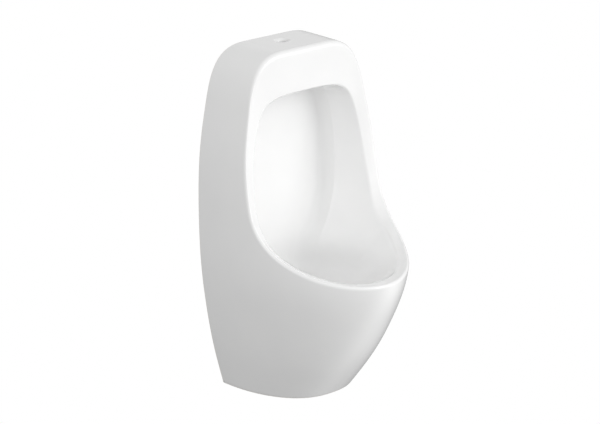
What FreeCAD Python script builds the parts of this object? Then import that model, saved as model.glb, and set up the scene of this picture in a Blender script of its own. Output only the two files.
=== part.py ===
import FreeCAD
import Part
import math
import os

# Wall hung urinal, in millimetres. X runs to the user's right, the wall is the plane Y = 0, the user
# stands on the -Y side, and +Z is up. Heights below are measured from the body's bottom edge. At the
# end everything moves down by HANGER_HEIGHT, which puts the origin among the hanger screw holes.

Vector = FreeCAD.Vector

# --- China body, outside -------------------------------------------------------------------------
BODY_HEIGHT = 640.0
WAIST_HEIGHT = 320.0             # the widest place: what is drawn above it stretches with the body
BODY_RISE = BODY_HEIGHT - WAIST_HEIGHT
SHOULDER_DROP = 100.0            # from the top down to where the sides start to round over
SHOULDER_HEIGHT = BODY_HEIGHT - SHOULDER_DROP
TOP_HALF_WIDTH = 52.0            # flat part of the top
SHOULDER_LEAN = 0.21             # how fast the sides already lean inwards there
SHOULDER_RISE = 65.0             # how long the shoulder curve keeps that lean
SHOULDER_RUN = 62.0              # how long it runs flat before it meets the top
SHOULDER_STEPS = 7
# height, half width, depth and fullness at the sides and at the front of the D-shaped plan
SKIN_STATIONS = [
    (0.0, 118.0, 172.0, 2.45, 2.0),
    (80.0, 139.0, 236.0, 2.3, 2.15),
    (160.0, 153.5, 286.0, 2.1, 2.35),
    (250.0, 163.5, 324.0, 1.9, 2.55),
    (WAIST_HEIGHT, 165.5, 328.0, 1.9, 2.45),
    (WAIST_HEIGHT + 0.25 * BODY_RISE, 164.0, 332.0, 1.9, 2.3),
    (WAIST_HEIGHT + 0.5 * BODY_RISE, 156.0, 336.0, 1.9, 2.15),
    (SHOULDER_HEIGHT, 144.0, 339.0, 1.9, 2.05),
]
STATION_STEP = 36.0              # the body's sections are about this far apart
PLAN_POINTS = 24

# Side view of the open front, as depth and height: lip, wings and brow
RIM_PROFILE = [
    (345.0, 245.0),
    (323.5, 249.5),
    (299.0, 255.0),
    (261.0, 265.0),
    (215.0, 282.0),
    (168.5, 309.0),
    (140.0, WAIST_HEIGHT + 0.08 * BODY_RISE),
    (127.0, WAIST_HEIGHT + 0.23 * BODY_RISE),
    (118.5, WAIST_HEIGHT + 0.41 * BODY_RISE),
    (113.0, WAIST_HEIGHT + 0.62 * BODY_RISE),
    (110.0, WAIST_HEIGHT + 0.80 * BODY_RISE),
    (110.5, BODY_HEIGHT),
]

# --- China body, inside --------------------------------------------------------------------------
SHELL_WALL = 10.0                # outer shell and bowl walls
RIM_WALL = 14.0                  # front face of the wings, lip and brow
TOP_WALL = 12.0
SEAT_HEIGHT = 184.0              # top of the outlet flange in the bowl's floor
BROW_DEPTH = 80.0                # from the top down to the bowl's ceiling
CEILING_HEIGHT = BODY_HEIGHT - BROW_DEPTH
BOWL_HEIGHT = CEILING_HEIGHT - SEAT_HEIGHT
DRAIN_DEPTH = 92.0               # from the wall to the centre of the outlet
BOWL_BACK = 30.0                 # from the wall to the back of the bowl
# height, half width, extra back depth, front depth and corner fullness of the bowl
BOWL_STATIONS = [
    (SEAT_HEIGHT, 46.0, 14.0, 142.0, 2.2),
    (SEAT_HEIGHT + 12.0, 68.0, 5.0, 186.0, 2.2),
    (SEAT_HEIGHT + 36.0, 88.0, 0.0, 252.0, 2.2),
    (SEAT_HEIGHT + 72.0, 102.0, 0.0, 303.0, 2.2),
    (SEAT_HEIGHT + 97.0, 110.5, 0.0, 312.0, 2.3),
    (SEAT_HEIGHT + 0.35 * BOWL_HEIGHT, 122.0, 0.0, 314.0, 2.5),
    (SEAT_HEIGHT + 0.44 * BOWL_HEIGHT, 130.0, 0.0, 314.0, 2.7),
    (SEAT_HEIGHT + 0.56 * BOWL_HEIGHT, 132.0, 0.0, 314.0, 2.8),
    (SEAT_HEIGHT + 0.69 * BOWL_HEIGHT, 129.0, 0.0, 314.0, 2.9),
    (SEAT_HEIGHT + 0.82 * BOWL_HEIGHT, 120.0, 0.0, 314.0, 3.0),
    (CEILING_HEIGHT - 34.0, 107.0, 0.0, 314.0, 3.0),
    (CEILING_HEIGHT - 16.0, 97.0, 1.0, 314.0, 3.0),
    (CEILING_HEIGHT - 5.0, 86.0, 3.0, 314.0, 3.0),
    (CEILING_HEIGHT, 72.0, 7.0, 314.0, 3.0),
]
BOWL_POINTS = 32

# --- Water inlet ---------------------------------------------------------------------------------
INLET_DEPTH = 43.0               # from the wall to the centre of the top hole
INLET_BORE = 19.0
INLET_FLARE = 30.0               # width of the glazed flare at the top
INLET_FLARE_DEPTH = 4.0
INLET_BOSS = 52.0
INLET_BOSS_HEIGHT = 28.0
INLET_SHOULDER = 11.0            # china above the grommet
SUPPLY_PIPE = 15.0               # flush pipe that the grommet takes
TUBE_OUTSIDE = 16.0
TUBE_WALL = 1.5
TUBE_SOCKET = 8.0                # how deep the tube sits in the grommet
GROMMET_OUTSIDE = 32.0
GROMMET_HEIGHT = 17.0
STEM_OUTSIDE = 20.0
STEM_HOLE_CLEARANCE = 0.5
STEM_SOCKET = 10.0               # how deep the tube sits in the stem
STEM_SPARE = 4.0                 # stem above the nut
TUBE_BEND = 18.0                 # radius of the two bends that carry the tube forwards
SPREADER_DEPTH = 56.0            # from the wall to the spreader's centre
SPREADER_HEAD = 26.0
SPREADER_HEIGHT = 12.0
SPREADER_CHAMFER = 3.0
SPREADER_FLOOR = 4.0
SPREADER_BORE = 12.0
SPREADER_SLOTS = 9
SPREADER_SLOT_WIDTH = 2.0
SPREADER_SLOT_HEIGHT = 4.0
SPREADER_NUT_FLATS = 30.0
SPREADER_NUT_HEIGHT = 6.0
THIN_WASHER = 2.0

# --- Waste outlet --------------------------------------------------------------------------------
FLANGE_OUTSIDE = 64.0
FLANGE_HEIGHT = 8.0
GASKET_HEIGHT = 3.0
TAIL_OUTSIDE = 42.0
TAIL_WALL = 2.5
TAIL_LENGTH = 46.0               # below the flange
TAIL_HOLE_CLEARANCE = 2.0
FLOOR_WALL = 12.0                # china under the gasket
SEAT_CLEARANCE = 1.0             # flange to china, all round
STRAINER_WIDTH = 52.0            # seat in the flange
STRAINER_HEIGHT = 3.0
STRAINER_CLEARANCE = 0.5
STRAINER_RINGS = [(8.0, 6), (14.5, 11)]    # radius and number of holes
STRAINER_HOLE = 4.2
STRAINER_KNOB = 8.0
STRAINER_KNOB_HEIGHT = 4.0
WASTE_WASHER_HEIGHT = 3.0
WASTE_NUT_FLATS = 56.0
WASTE_NUT_HEIGHT = 9.0

# --- Bottle trap ---------------------------------------------------------------------------------
NUT_CLEARANCE = 0.3              # union nuts over their threads and pipes
NECK_OUTSIDE = 50.0
NECK_HEIGHT = 16.0
NECK_SHELF = 3.0                 # plastic under the dip tube's flange
SLIP_FIT = 0.5                   # tail in the neck and pipe in the branch
SLIP_WASHER_HEIGHT = 4.0
SLIP_NUT_WALL = 3.5
SLIP_NUT_RIB = 1.5
SLIP_NUT_HEIGHT = 21.0
SLIP_NUT_RIBS = 12
SLIP_THREAD = 13.0               # thread inside the inlet nut
BRANCH_THREAD = 12.0             # thread inside the outlet nut
HEAD_OUTSIDE = 68.0
HEAD_HEIGHT = 66.0
PLASTIC_WALL = 3.5
DIP_TUBE_OUTSIDE = 34.0
DIP_TUBE_WALL = 2.0
DIP_TUBE_LENGTH = 88.0
BRANCH_RISE = 38.0               # branch axis above the head's lower edge
BRANCH_LENGTH = 20.0             # out of the head
PIPE_SOCKET = 16.0
CUP_OUTSIDE = 60.0
CUP_HEIGHT = 34.0
CUP_FLANGE = 67.0
CUP_FLANGE_HEIGHT = 4.0
CUP_FOOT_RADIUS = 6.0
CUP_SEAL_HEIGHT = 3.0
RING_WALL = 4.0
RING_RIB_ROOT = 1.0              # how far the ribs start outside the bore
RING_OVERLAP = 9.0               # thread that the ring and the head share
RING_RIBS = 16
PIPE_OUTSIDE = 40.0
PIPE_WALL = 2.0
PIPE_PAST_WALL = 40.0
PIPE_MARK_WIDTH = 2.0            # shallow ring that shows how far the pipe goes into the wall socket
PIPE_MARK_DEPTH = 0.5
WALL_SEAL_WIDTH = 62.0
WALL_SEAL_HEIGHT = 8.0

# --- Fixing to the wall --------------------------------------------------------------------------
HANGER_DROP = 65.0               # from the top of the body down to the middle of the screw holes
HANGER_HEIGHT = BODY_HEIGHT - HANGER_DROP
HANGER_SPACING = 120.0
HANGER_HOLE_PITCH = 26.0
HANGER_HOLE = 9.0
HANGER_WIDTH = 34.0
HANGER_STEEL = 3.0
HANGER_EDGE = 11.0               # steel beyond the hole centres
HOOK_HEIGHT = 16.0
HOOK_PLAY = 0.5                  # between the rail and the hook, each side
HOOK_ROOM = 12.0                 # beside the hooks, to shift the body sideways when hanging it
RAIL_WALL = 8.0
RAIL_HEIGHT = 30.0
RAIL_GAP = 11.0                  # from the rail's top to the lower hole
FOOT_HOLE_HEIGHT = 34.0
FOOT_EDGE = 12.0                 # steel beyond the hole's centre
FOOT_HOLE = 9.0
FOOT_WIDTH = 26.0
FOOT_STEEL = 4.0
FOOT_LEG = 46.0
LEDGE_MIDDLE = 92.0              # from the centre line to the foot bolts
LEDGE_HEIGHT = 76.0              # underside of the china ledge
LEDGE_WALL = 10.0
LEDGE_SETBACK = 6.0              # from the wall
FOOT_PAD_HEIGHT = 4.0
FOOT_BOLT = 8.0
FOOT_BOLT_SPARE = 2.0            # thread above its nut
FOOT_BOLT_HOLE = 10.0
FOOT_BOLT_DEPTH = 26.0           # from the wall
BOLT_HEAD_FLATS = 13.0
BOLT_HEAD_HEIGHT = 5.3
BOLT_NUT_HEIGHT = 6.5

# --- Derived places ------------------------------------------------------------------------------
FLANGE_BOTTOM = SEAT_HEIGHT - FLANGE_HEIGHT
GASKET_BOTTOM = FLANGE_BOTTOM - GASKET_HEIGHT
FLOOR_UNDERSIDE = GASKET_BOTTOM - FLOOR_WALL
STRAINER_BOTTOM = SEAT_HEIGHT - STRAINER_HEIGHT
WASTE_WASHER_BOTTOM = FLOOR_UNDERSIDE - WASTE_WASHER_HEIGHT
TAIL_BOTTOM = FLANGE_BOTTOM - TAIL_LENGTH
NUT_GAP = 2.0                    # between the back nut and the union nut
NECK_TOP = WASTE_WASHER_BOTTOM - WASTE_NUT_HEIGHT - NUT_GAP - (SLIP_NUT_HEIGHT - SLIP_THREAD)
HEAD_TOP = NECK_TOP - NECK_HEIGHT
HEAD_BOTTOM = HEAD_TOP - HEAD_HEIGHT
BRANCH_HEIGHT = HEAD_BOTTOM + BRANCH_RISE
CUP_TOP = HEAD_BOTTOM - CUP_SEAL_HEIGHT
GROMMET_TOP = BODY_HEIGHT - INLET_SHOULDER
GROMMET_BOTTOM = GROMMET_TOP - GROMMET_HEIGHT
TUBE_TOP = GROMMET_BOTTOM + TUBE_SOCKET
SPREADER_SEAT = CEILING_HEIGHT + SHELL_WALL
STEM_TOP = SPREADER_SEAT + THIN_WASHER + SPREADER_NUT_HEIGHT + STEM_SPARE
TUBE_BOTTOM = STEM_TOP - STEM_SOCKET
DRAIN = Vector(0, -DRAIN_DEPTH, 0)
INLET = Vector(0, -INLET_DEPTH, 0)
SPRAY = Vector(0, -SPREADER_DEPTH, 0)
RAIL_TOP = HANGER_HEIGHT - HANGER_HOLE_PITCH / 2 - RAIL_GAP
RAIL_BOTTOM = RAIL_TOP - RAIL_HEIGHT
RAIL_BACK = HANGER_STEEL + HOOK_PLAY
FOOT_LEG_TOP = LEDGE_HEIGHT - FOOT_PAD_HEIGHT
OVERRUN = 20.0                   # how far cutting tools run past what they cut
HOLLOW_REACH = 2 * RIM_PROFILE[0][0]


# --- Small tools ---------------------------------------------------------------------------------
def disc(width, bottom, top, centre=Vector(0, 0, 0)):
    """Upright cylinder of a given width between two heights."""
    return Part.makeCylinder(width / 2, top - bottom, centre + Vector(0, 0, bottom))


def ring(outside, inside, bottom, top, centre=Vector(0, 0, 0)):
    """Upright tube between two heights."""
    bore = disc(inside, bottom - OVERRUN, top + OVERRUN, centre)
    return disc(outside, bottom, top, centre).cut(bore)


def block(x_low, x_high, y_low, y_high, z_low, z_high):
    """Box between two corners."""
    corner = Vector(x_low, y_low, z_low)
    return Part.makeBox(x_high - x_low, y_high - y_low, z_high - z_low, corner)


def hexagon(flats, bottom, top, centre=Vector(0, 0, 0)):
    """Upright hexagonal prism, by its width across flats."""
    radius = flats / math.sqrt(3)
    corners = []
    for step in range(7):
        angle = step * math.pi / 3
        corners.append(centre + Vector(radius * math.cos(angle), radius * math.sin(angle), bottom))
    return Part.Face(Part.makePolygon(corners)).extrude(Vector(0, 0, top - bottom))


def around(count, make):
    """Copies of one shape turned about the Z axis through the origin, as a list."""
    shapes = []
    for step in range(count):
        copy = make()
        copy.rotate(Vector(0, 0, 0), Vector(0, 0, 1), step * 360.0 / count)
        shapes.append(copy)
    return shapes


def smooth_edge(points):
    """One curve through points, with the same parameters whatever the section's size."""
    curve = Part.BSplineCurve()
    count = len(points)
    curve.interpolate(Points=points, Parameters=[step / (count - 1) for step in range(count)])
    return curve.toShape()


# --- China body ----------------------------------------------------------------------------------
def blend(stations, height):
    """Values at one height, on a smooth curve through the stations."""
    last = len(stations) - 1
    index = min(max(sum(station[0] <= height for station in stations) - 1, 0), last - 1)
    low, high = stations[index], stations[index + 1]
    before, after = stations[max(index - 1, 0)], stations[min(index + 2, last)]
    span = high[0] - low[0]
    t = (height - low[0]) / span
    values = [height]
    for column in range(1, len(low)):
        slope_low = (high[column] - before[column]) / (high[0] - before[0]) * span
        slope_high = (after[column] - low[column]) / (after[0] - low[0]) * span
        values.append(
            (2 * t ** 3 - 3 * t ** 2 + 1) * low[column] + (t ** 3 - 2 * t ** 2 + t) * slope_low
            + (3 * t ** 2 - 2 * t ** 3) * high[column] + (t ** 3 - t ** 2) * slope_high
        )
    return tuple(values)


def skin_stations():
    """Sections of the skin: evenly spaced up the sides, then round the shoulder to the flat top."""
    steps = round(SHOULDER_HEIGHT / STATION_STEP)
    stations = [blend(SKIN_STATIONS, SHOULDER_HEIGHT * step / steps) for step in range(steps + 1)]
    height, half_width, depth, sides, front = SKIN_STATIONS[-1]
    corners = [
        (half_width, height),
        (half_width - SHOULDER_LEAN * SHOULDER_RISE, height + SHOULDER_RISE),
        (TOP_HALF_WIDTH + SHOULDER_RUN, BODY_HEIGHT),
        (TOP_HALF_WIDTH, BODY_HEIGHT),
    ]
    for step in range(1, SHOULDER_STEPS + 1):
        t = step / SHOULDER_STEPS
        weights = ((1 - t) ** 3, 3 * (1 - t) ** 2 * t, 3 * (1 - t) * t ** 2, t ** 3)
        width = sum(weight * corner[0] for weight, corner in zip(weights, corners))
        rise = sum(weight * corner[1] for weight, corner in zip(weights, corners))
        stations.append((rise, width, depth, sides, front))
    return stations


def plan_wire(station, inset):
    """D-shaped section of the skin, moved inwards by inset, open towards the wall by OVERRUN."""
    height, half_width, depth, sides, front = station
    points = []
    for step in range(PLAN_POINTS + 1):
        angle = math.pi * step / PLAN_POINTS
        forward = abs(math.sin(angle)) ** (2 / front) if 0 < step < PLAN_POINTS else 0.0
        across = abs(math.cos(angle)) ** (2 / sides)
        x = math.copysign(across * (half_width - inset), math.cos(angle))
        points.append(Vector(x, -forward * (depth - inset), height))
    right, left = points[0], points[-1]
    right_back = right + Vector(0, OVERRUN, 0)
    left_back = left + Vector(0, OVERRUN, 0)
    edges = [
        Part.makeLine(right_back, right),
        smooth_edge(points),
        Part.makeLine(left, left_back),
        Part.makeLine(left_back, right_back),
    ]
    return Part.Wire(edges)


def skin(inset):
    """The outer skin as a solid, or the space inside the shell when inset is its wall."""
    wires = [plan_wire(station, inset) for station in skin_stations()]
    return Part.makeLoft(wires, True, False)


def side_slab(back_by, down_by):
    """Everything behind the side view of lip, wings and brow, moved back and down by a wall."""
    points = [Vector(0, back_by - depth, height - down_by) for depth, height in RIM_PROFILE]
    before = points[0] + Vector(0, -RIM_PROFILE[0][0], 0)
    above = points[-1] + Vector(0, 0, OVERRUN)
    curve = Part.BSplineCurve()
    curve.interpolate(points)
    outline = [above, Vector(0, 0, above.z), Vector(0, 0, 0), Vector(0, before.y, 0), before, points[0]]
    edges = [curve.toShape(), Part.makeLine(points[-1], above), Part.makePolygon(outline)]
    reach = 2 * SKIN_STATIONS[-1][1]
    slab = Part.Face(Part.Wire(edges)).extrude(Vector(2 * reach, 0, 0))
    slab.translate(Vector(-reach, 0, 0))
    return slab


def bowl(grow):
    """The bowl as a solid, or with its walls around it when grow is their thickness."""
    middle_height = (SEAT_HEIGHT + CEILING_HEIGHT) / 2
    stretch = 1 + 2 * grow / (CEILING_HEIGHT - SEAT_HEIGHT)
    wires = []
    for height, half_width, inset, front, fullness in BOWL_STATIONS:
        back = BOWL_BACK + inset
        middle = (back + front) / 2
        reach = (front - back) / 2 + grow
        level = middle_height + (height - middle_height) * stretch
        points = []
        for step in range(BOWL_POINTS):
            angle = 2 * math.pi * step / BOWL_POINTS
            across = math.copysign(abs(math.cos(angle)) ** (2 / fullness), math.cos(angle))
            along = math.copysign(abs(math.sin(angle)) ** (2 / fullness), math.sin(angle))
            points.append(Vector(across * (half_width + grow), -middle - along * reach, level))
        curve = Part.BSplineCurve()
        curve.interpolate(Points=points, PeriodicFlag=True)
        wires.append(Part.Wire(curve.toShape()))
    return Part.makeLoft(wires, True, False)


def china_body():
    """Outer shell, bowl, brow, rail and ledges, cast in one piece and open at the back and below."""
    body = skin(0.0).common(side_slab(0.0, 0.0))
    bowl_shell = bowl(SHELL_WALL)
    floor_boss = disc(FLANGE_OUTSIDE + 2 * SHELL_WALL, FLOOR_UNDERSIDE, SEAT_HEIGHT + SHELL_WALL, DRAIN)
    inlet_boss = disc(INLET_BOSS, BODY_HEIGHT - INLET_BOSS_HEIGHT, BODY_HEIGHT, INLET)
    hollow = skin(SHELL_WALL).common(side_slab(RIM_WALL, RIM_WALL))
    hollow = hollow.common(block(-HOLLOW_REACH, HOLLOW_REACH, -HOLLOW_REACH, 0, 0, BODY_HEIGHT - TOP_WALL))
    hollow = hollow.cut([bowl_shell, floor_boss, inlet_boss, hanger_rail()] + foot_ledges())
    cuts = [
        hollow,
        bowl(0.0),
        disc(FLANGE_OUTSIDE + 2 * SEAT_CLEARANCE, GASKET_BOTTOM, SEAT_HEIGHT + SHELL_WALL, DRAIN),
        disc(TAIL_OUTSIDE + 2 * TAIL_HOLE_CLEARANCE, FLOOR_UNDERSIDE - OVERRUN, SEAT_HEIGHT, DRAIN),
        disc(INLET_BORE, GROMMET_BOTTOM, BODY_HEIGHT + OVERRUN, INLET),
        disc(GROMMET_OUTSIDE, GROMMET_BOTTOM - OVERRUN, GROMMET_TOP, INLET),
        Part.makeCone(INLET_BORE / 2, INLET_FLARE / 2, INLET_FLARE_DEPTH,
                      INLET + Vector(0, 0, BODY_HEIGHT - INLET_FLARE_DEPTH)),
        disc(STEM_OUTSIDE + 2 * STEM_HOLE_CLEARANCE, CEILING_HEIGHT - OVERRUN, SPREADER_SEAT, SPRAY),
    ]
    for side in (-1, 1):
        bolt = Vector(side * LEDGE_MIDDLE, -FOOT_BOLT_DEPTH, 0)
        cuts.append(disc(FOOT_BOLT_HOLE, LEDGE_HEIGHT - OVERRUN, LEDGE_HEIGHT + 2 * OVERRUN, bolt))
    return body.cut(cuts)


def hanger_rail():
    """Bar across the open back that drops into the wall hooks, tied to the bowl beside the hooks."""
    front = -RAIL_BACK - RAIL_WALL
    inner = HANGER_SPACING / 2 - HANGER_WIDTH / 2 - HOOK_ROOM
    outer = HANGER_SPACING / 2 + HANGER_WIDTH / 2 + HOOK_ROOM
    bar = block(-HOLLOW_REACH, HOLLOW_REACH, front, -RAIL_BACK, RAIL_BOTTOM, RAIL_TOP)
    return bar.fuse([
        block(-inner, inner, -BOWL_BACK, front, RAIL_BOTTOM, RAIL_TOP),
        block(outer, HOLLOW_REACH, -BOWL_BACK, front, RAIL_BOTTOM, RAIL_TOP),
        block(-HOLLOW_REACH, -outer, -BOWL_BACK, front, RAIL_BOTTOM, RAIL_TOP),
    ])


def foot_ledges():
    """Two ledges inside the skirt, beside the wall, that the foot angles hold."""
    low, high = LEDGE_HEIGHT, LEDGE_HEIGHT + LEDGE_WALL
    inner = LEDGE_MIDDLE - FOOT_WIDTH / 2
    deep = -FOOT_LEG - HOOK_PLAY
    return [
        block(-HOLLOW_REACH, -inner, deep, -LEDGE_SETBACK, low, high),
        block(inner, HOLLOW_REACH, deep, -LEDGE_SETBACK, low, high),
    ]


# --- Water inlet ---------------------------------------------------------------------------------
def inlet_seal():
    """Rubber grommet: the flush pipe enters from above, the inlet tube from below."""
    grommet = ring(GROMMET_OUTSIDE, SUPPLY_PIPE, GROMMET_BOTTOM, GROMMET_TOP, INLET)
    return grommet.cut(disc(TUBE_OUTSIDE, GROMMET_BOTTOM, TUBE_TOP, INLET))


def inlet_tube():
    """Tube from the grommet, through two bends, down into the spreader's stem."""
    shift = (SPREADER_DEPTH - INLET_DEPTH) / 2
    turn = math.acos(1 - shift / TUBE_BEND)
    middle = Vector(0, -INLET_DEPTH - shift, STEM_TOP + TUBE_BEND * math.sin(turn))
    half_turn = Vector(0, TUBE_BEND * (1 - math.cos(turn / 2)), TUBE_BEND * math.sin(turn / 2))
    low_bend, high_bend = SPRAY + Vector(0, 0, STEM_TOP), INLET + Vector(0, 0, 2 * middle.z - STEM_TOP)
    foot, head = SPRAY + Vector(0, 0, TUBE_BOTTOM), INLET + Vector(0, 0, TUBE_TOP)
    path = Part.Wire([
        Part.makeLine(foot, low_bend),
        Part.Arc(low_bend, low_bend + half_turn, middle).toShape(),
        Part.Arc(middle, high_bend - half_turn, high_bend).toShape(),
        Part.makeLine(high_bend, head),
    ])

    def swept(width):
        return path.makePipeShell([Part.Wire(Part.makeCircle(width / 2, foot))], True, False)

    return swept(TUBE_OUTSIDE).cut(swept(TUBE_OUTSIDE - 2 * TUBE_WALL))


def spreader():
    """Spray head under the bowl's ceiling, with a hollow stem up through the china."""
    head_top = SPREADER_SEAT - SHELL_WALL
    head_bottom = head_top - SPREADER_HEIGHT
    head = disc(SPREADER_HEAD, head_bottom, head_top, SPRAY)
    head = head.makeChamfer(SPREADER_CHAMFER, [edge for edge in head.Edges if edge.BoundBox.ZMax < head_top
                                               and edge.BoundBox.ZLength < 1])
    stem = disc(STEM_OUTSIDE, head_top, STEM_TOP, SPRAY)
    body = head.fuse(stem)
    chamber = disc(SPREADER_BORE, head_bottom + SPREADER_FLOOR, STEM_TOP, SPRAY)
    socket = disc(TUBE_OUTSIDE, TUBE_BOTTOM, STEM_TOP, SPRAY)
    slot_low = head_bottom + SPREADER_FLOOR
    slot_high = slot_low + SPREADER_SLOT_HEIGHT

    def slot():
        half = SPREADER_SLOT_WIDTH / 2
        return block(SPREADER_BORE / 2 - half, SPREADER_HEAD, -half, half, slot_low, slot_high)

    slots = [cut.translated(SPRAY) for cut in around(SPREADER_SLOTS, slot)]
    return body.cut([chamber, socket] + slots)


def spreader_washer():
    """Rubber washer between the spreader's nut and the china."""
    return ring(SPREADER_NUT_FLATS, STEM_OUTSIDE, SPREADER_SEAT, SPREADER_SEAT + THIN_WASHER, SPRAY)


def spreader_nut():
    """Hexagonal nut that pulls the spreader up against the ceiling."""
    low = SPREADER_SEAT + THIN_WASHER
    nut = hexagon(SPREADER_NUT_FLATS, low, low + SPREADER_NUT_HEIGHT, SPRAY)
    return nut.cut(disc(STEM_OUTSIDE, low - OVERRUN, low + OVERRUN, SPRAY))


# --- Waste outlet --------------------------------------------------------------------------------
def strainer():
    """Loose grid that lies in the outlet flange, with a knob to lift it by."""
    grid = disc(STRAINER_WIDTH - 2 * STRAINER_CLEARANCE, STRAINER_BOTTOM, STRAINER_BOTTOM + STRAINER_HEIGHT)
    knob = disc(STRAINER_KNOB, STRAINER_BOTTOM, STRAINER_BOTTOM + STRAINER_HEIGHT + STRAINER_KNOB_HEIGHT)
    holes = []
    for radius, count in STRAINER_RINGS:
        def hole(place=Vector(radius, 0, 0)):
            return disc(STRAINER_HOLE, STRAINER_BOTTOM - OVERRUN, STRAINER_BOTTOM + OVERRUN, place)
        holes += around(count, hole)
    return grid.cut(holes).fuse(knob).translated(DRAIN)


def waste_flange():
    """Outlet with a flange in the bowl's floor, a seat for the strainer and a threaded tail."""
    flange = disc(FLANGE_OUTSIDE, FLANGE_BOTTOM, SEAT_HEIGHT, DRAIN)
    flange = flange.fuse(disc(TAIL_OUTSIDE, TAIL_BOTTOM, FLANGE_BOTTOM, DRAIN))
    flange = flange.cut(disc(STRAINER_WIDTH, STRAINER_BOTTOM, SEAT_HEIGHT + OVERRUN, DRAIN))
    return flange.cut(disc(TAIL_OUTSIDE - 2 * TAIL_WALL, TAIL_BOTTOM - OVERRUN, SEAT_HEIGHT, DRAIN))


def waste_gasket():
    """Rubber gasket under the flange."""
    return ring(FLANGE_OUTSIDE, TAIL_OUTSIDE, GASKET_BOTTOM, FLANGE_BOTTOM, DRAIN)


def waste_washer():
    """Rubber washer under the china."""
    return ring(WASTE_NUT_FLATS, TAIL_OUTSIDE, WASTE_WASHER_BOTTOM, FLOOR_UNDERSIDE, DRAIN)


def waste_nut():
    """Hexagonal back nut that clamps the outlet to the china."""
    low = WASTE_WASHER_BOTTOM - WASTE_NUT_HEIGHT
    nut = hexagon(WASTE_NUT_FLATS, low, WASTE_WASHER_BOTTOM, DRAIN)
    return nut.cut(disc(TAIL_OUTSIDE, low - OVERRUN, WASTE_WASHER_BOTTOM + OVERRUN, DRAIN))


# --- Bottle trap ---------------------------------------------------------------------------------
def slip_nut(thread, pipe, thread_length):
    """Ribbed union nut, seen from its open end at height 0: thread first, then a lip round the pipe."""
    outside = thread + 2 * (NUT_CLEARANCE + SLIP_NUT_WALL)
    nut = disc(outside, 0, SLIP_NUT_HEIGHT)
    rib_width = math.pi * outside / SLIP_NUT_RIBS / 2

    def rib():
        inner = outside / 2 - SLIP_NUT_WALL / 2
        return block(inner, outside / 2 + SLIP_NUT_RIB, -rib_width / 2, rib_width / 2, 0, SLIP_NUT_HEIGHT)

    nut = nut.fuse(around(SLIP_NUT_RIBS, rib))
    bore = disc(thread + 2 * NUT_CLEARANCE, -OVERRUN, thread_length + SLIP_WASHER_HEIGHT)
    lip = disc(pipe + 2 * NUT_CLEARANCE, -OVERRUN, SLIP_NUT_HEIGHT + OVERRUN)
    return nut.cut([bore, lip])


def trap_inlet_nut():
    """Union nut between the outlet's tail and the trap's neck."""
    nut = slip_nut(NECK_OUTSIDE, TAIL_OUTSIDE, SLIP_THREAD)
    return nut.translated(DRAIN + Vector(0, 0, NECK_TOP - SLIP_THREAD))


def trap_inlet_washer():
    """Its rubber washer."""
    return ring(NECK_OUTSIDE, TAIL_OUTSIDE, NECK_TOP, NECK_TOP + SLIP_WASHER_HEIGHT, DRAIN)


def trap_body():
    """Head of the bottle trap: neck above, threaded skirt below, outlet branch to the wall."""
    branch_start = DRAIN + Vector(0, 0, BRANCH_HEIGHT)
    branch_length = HEAD_OUTSIDE / 2 + BRANCH_LENGTH
    to_wall = Vector(0, 1, 0)
    solid = disc(HEAD_OUTSIDE, HEAD_BOTTOM, HEAD_TOP, DRAIN)
    crown = [edge for edge in solid.Edges if edge.BoundBox.ZMin > HEAD_TOP - PLASTIC_WALL]
    solid = solid.makeFillet(PLASTIC_WALL, crown)
    solid = solid.fuse([
        disc(NECK_OUTSIDE, HEAD_TOP - PLASTIC_WALL, NECK_TOP, DRAIN),
        Part.makeCylinder(NECK_OUTSIDE / 2, branch_length, branch_start, to_wall),
    ])
    room = disc(HEAD_OUTSIDE - 2 * PLASTIC_WALL, HEAD_BOTTOM - OVERRUN, HEAD_TOP - PLASTIC_WALL, DRAIN)
    neck = disc(TAIL_OUTSIDE + SLIP_FIT, HEAD_TOP + NECK_SHELF, NECK_TOP + OVERRUN, DRAIN)
    drop = disc(DIP_TUBE_OUTSIDE, HEAD_TOP - OVERRUN, NECK_TOP, DRAIN)
    port = Part.makeCylinder(PIPE_OUTSIDE / 2 - PIPE_WALL, branch_length + OVERRUN, branch_start, to_wall)
    socket_start = branch_start + Vector(0, branch_length - PIPE_SOCKET, 0)
    socket = Part.makeCylinder((PIPE_OUTSIDE + SLIP_FIT) / 2, PIPE_SOCKET + OVERRUN, socket_start, to_wall)
    return solid.cut([room, neck, drop, port, socket])


def trap_dip_tube():
    """Tube from the neck down into the cup, which makes the water seal."""
    top = HEAD_TOP + NECK_SHELF
    flange = ring(TAIL_OUTSIDE, DIP_TUBE_OUTSIDE - 2 * DIP_TUBE_WALL, top, top + DIP_TUBE_WALL, DRAIN)
    tube = ring(DIP_TUBE_OUTSIDE, DIP_TUBE_OUTSIDE - 2 * DIP_TUBE_WALL, top - DIP_TUBE_LENGTH, top, DRAIN)
    return tube.fuse(flange)


def trap_cup():
    """Cup that holds the water seal and unscrews for cleaning."""
    cup = disc(CUP_OUTSIDE, CUP_TOP - CUP_HEIGHT, CUP_TOP, DRAIN)
    cup = cup.makeFillet(CUP_FOOT_RADIUS, [edge for edge in cup.Edges if edge.BoundBox.ZMax < CUP_TOP - 1
                                           and edge.BoundBox.ZLength < 1])
    cup = cup.fuse(disc(CUP_FLANGE, CUP_TOP - CUP_FLANGE_HEIGHT, CUP_TOP, DRAIN))
    inside = CUP_OUTSIDE - 2 * PLASTIC_WALL
    return cup.cut(disc(inside, CUP_TOP - CUP_HEIGHT + PLASTIC_WALL, CUP_TOP + OVERRUN, DRAIN))


def trap_cup_seal():
    """Ring between the cup's flange and the head."""
    return ring(CUP_FLANGE, CUP_OUTSIDE - 2 * PLASTIC_WALL, CUP_TOP, HEAD_BOTTOM, DRAIN)


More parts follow.
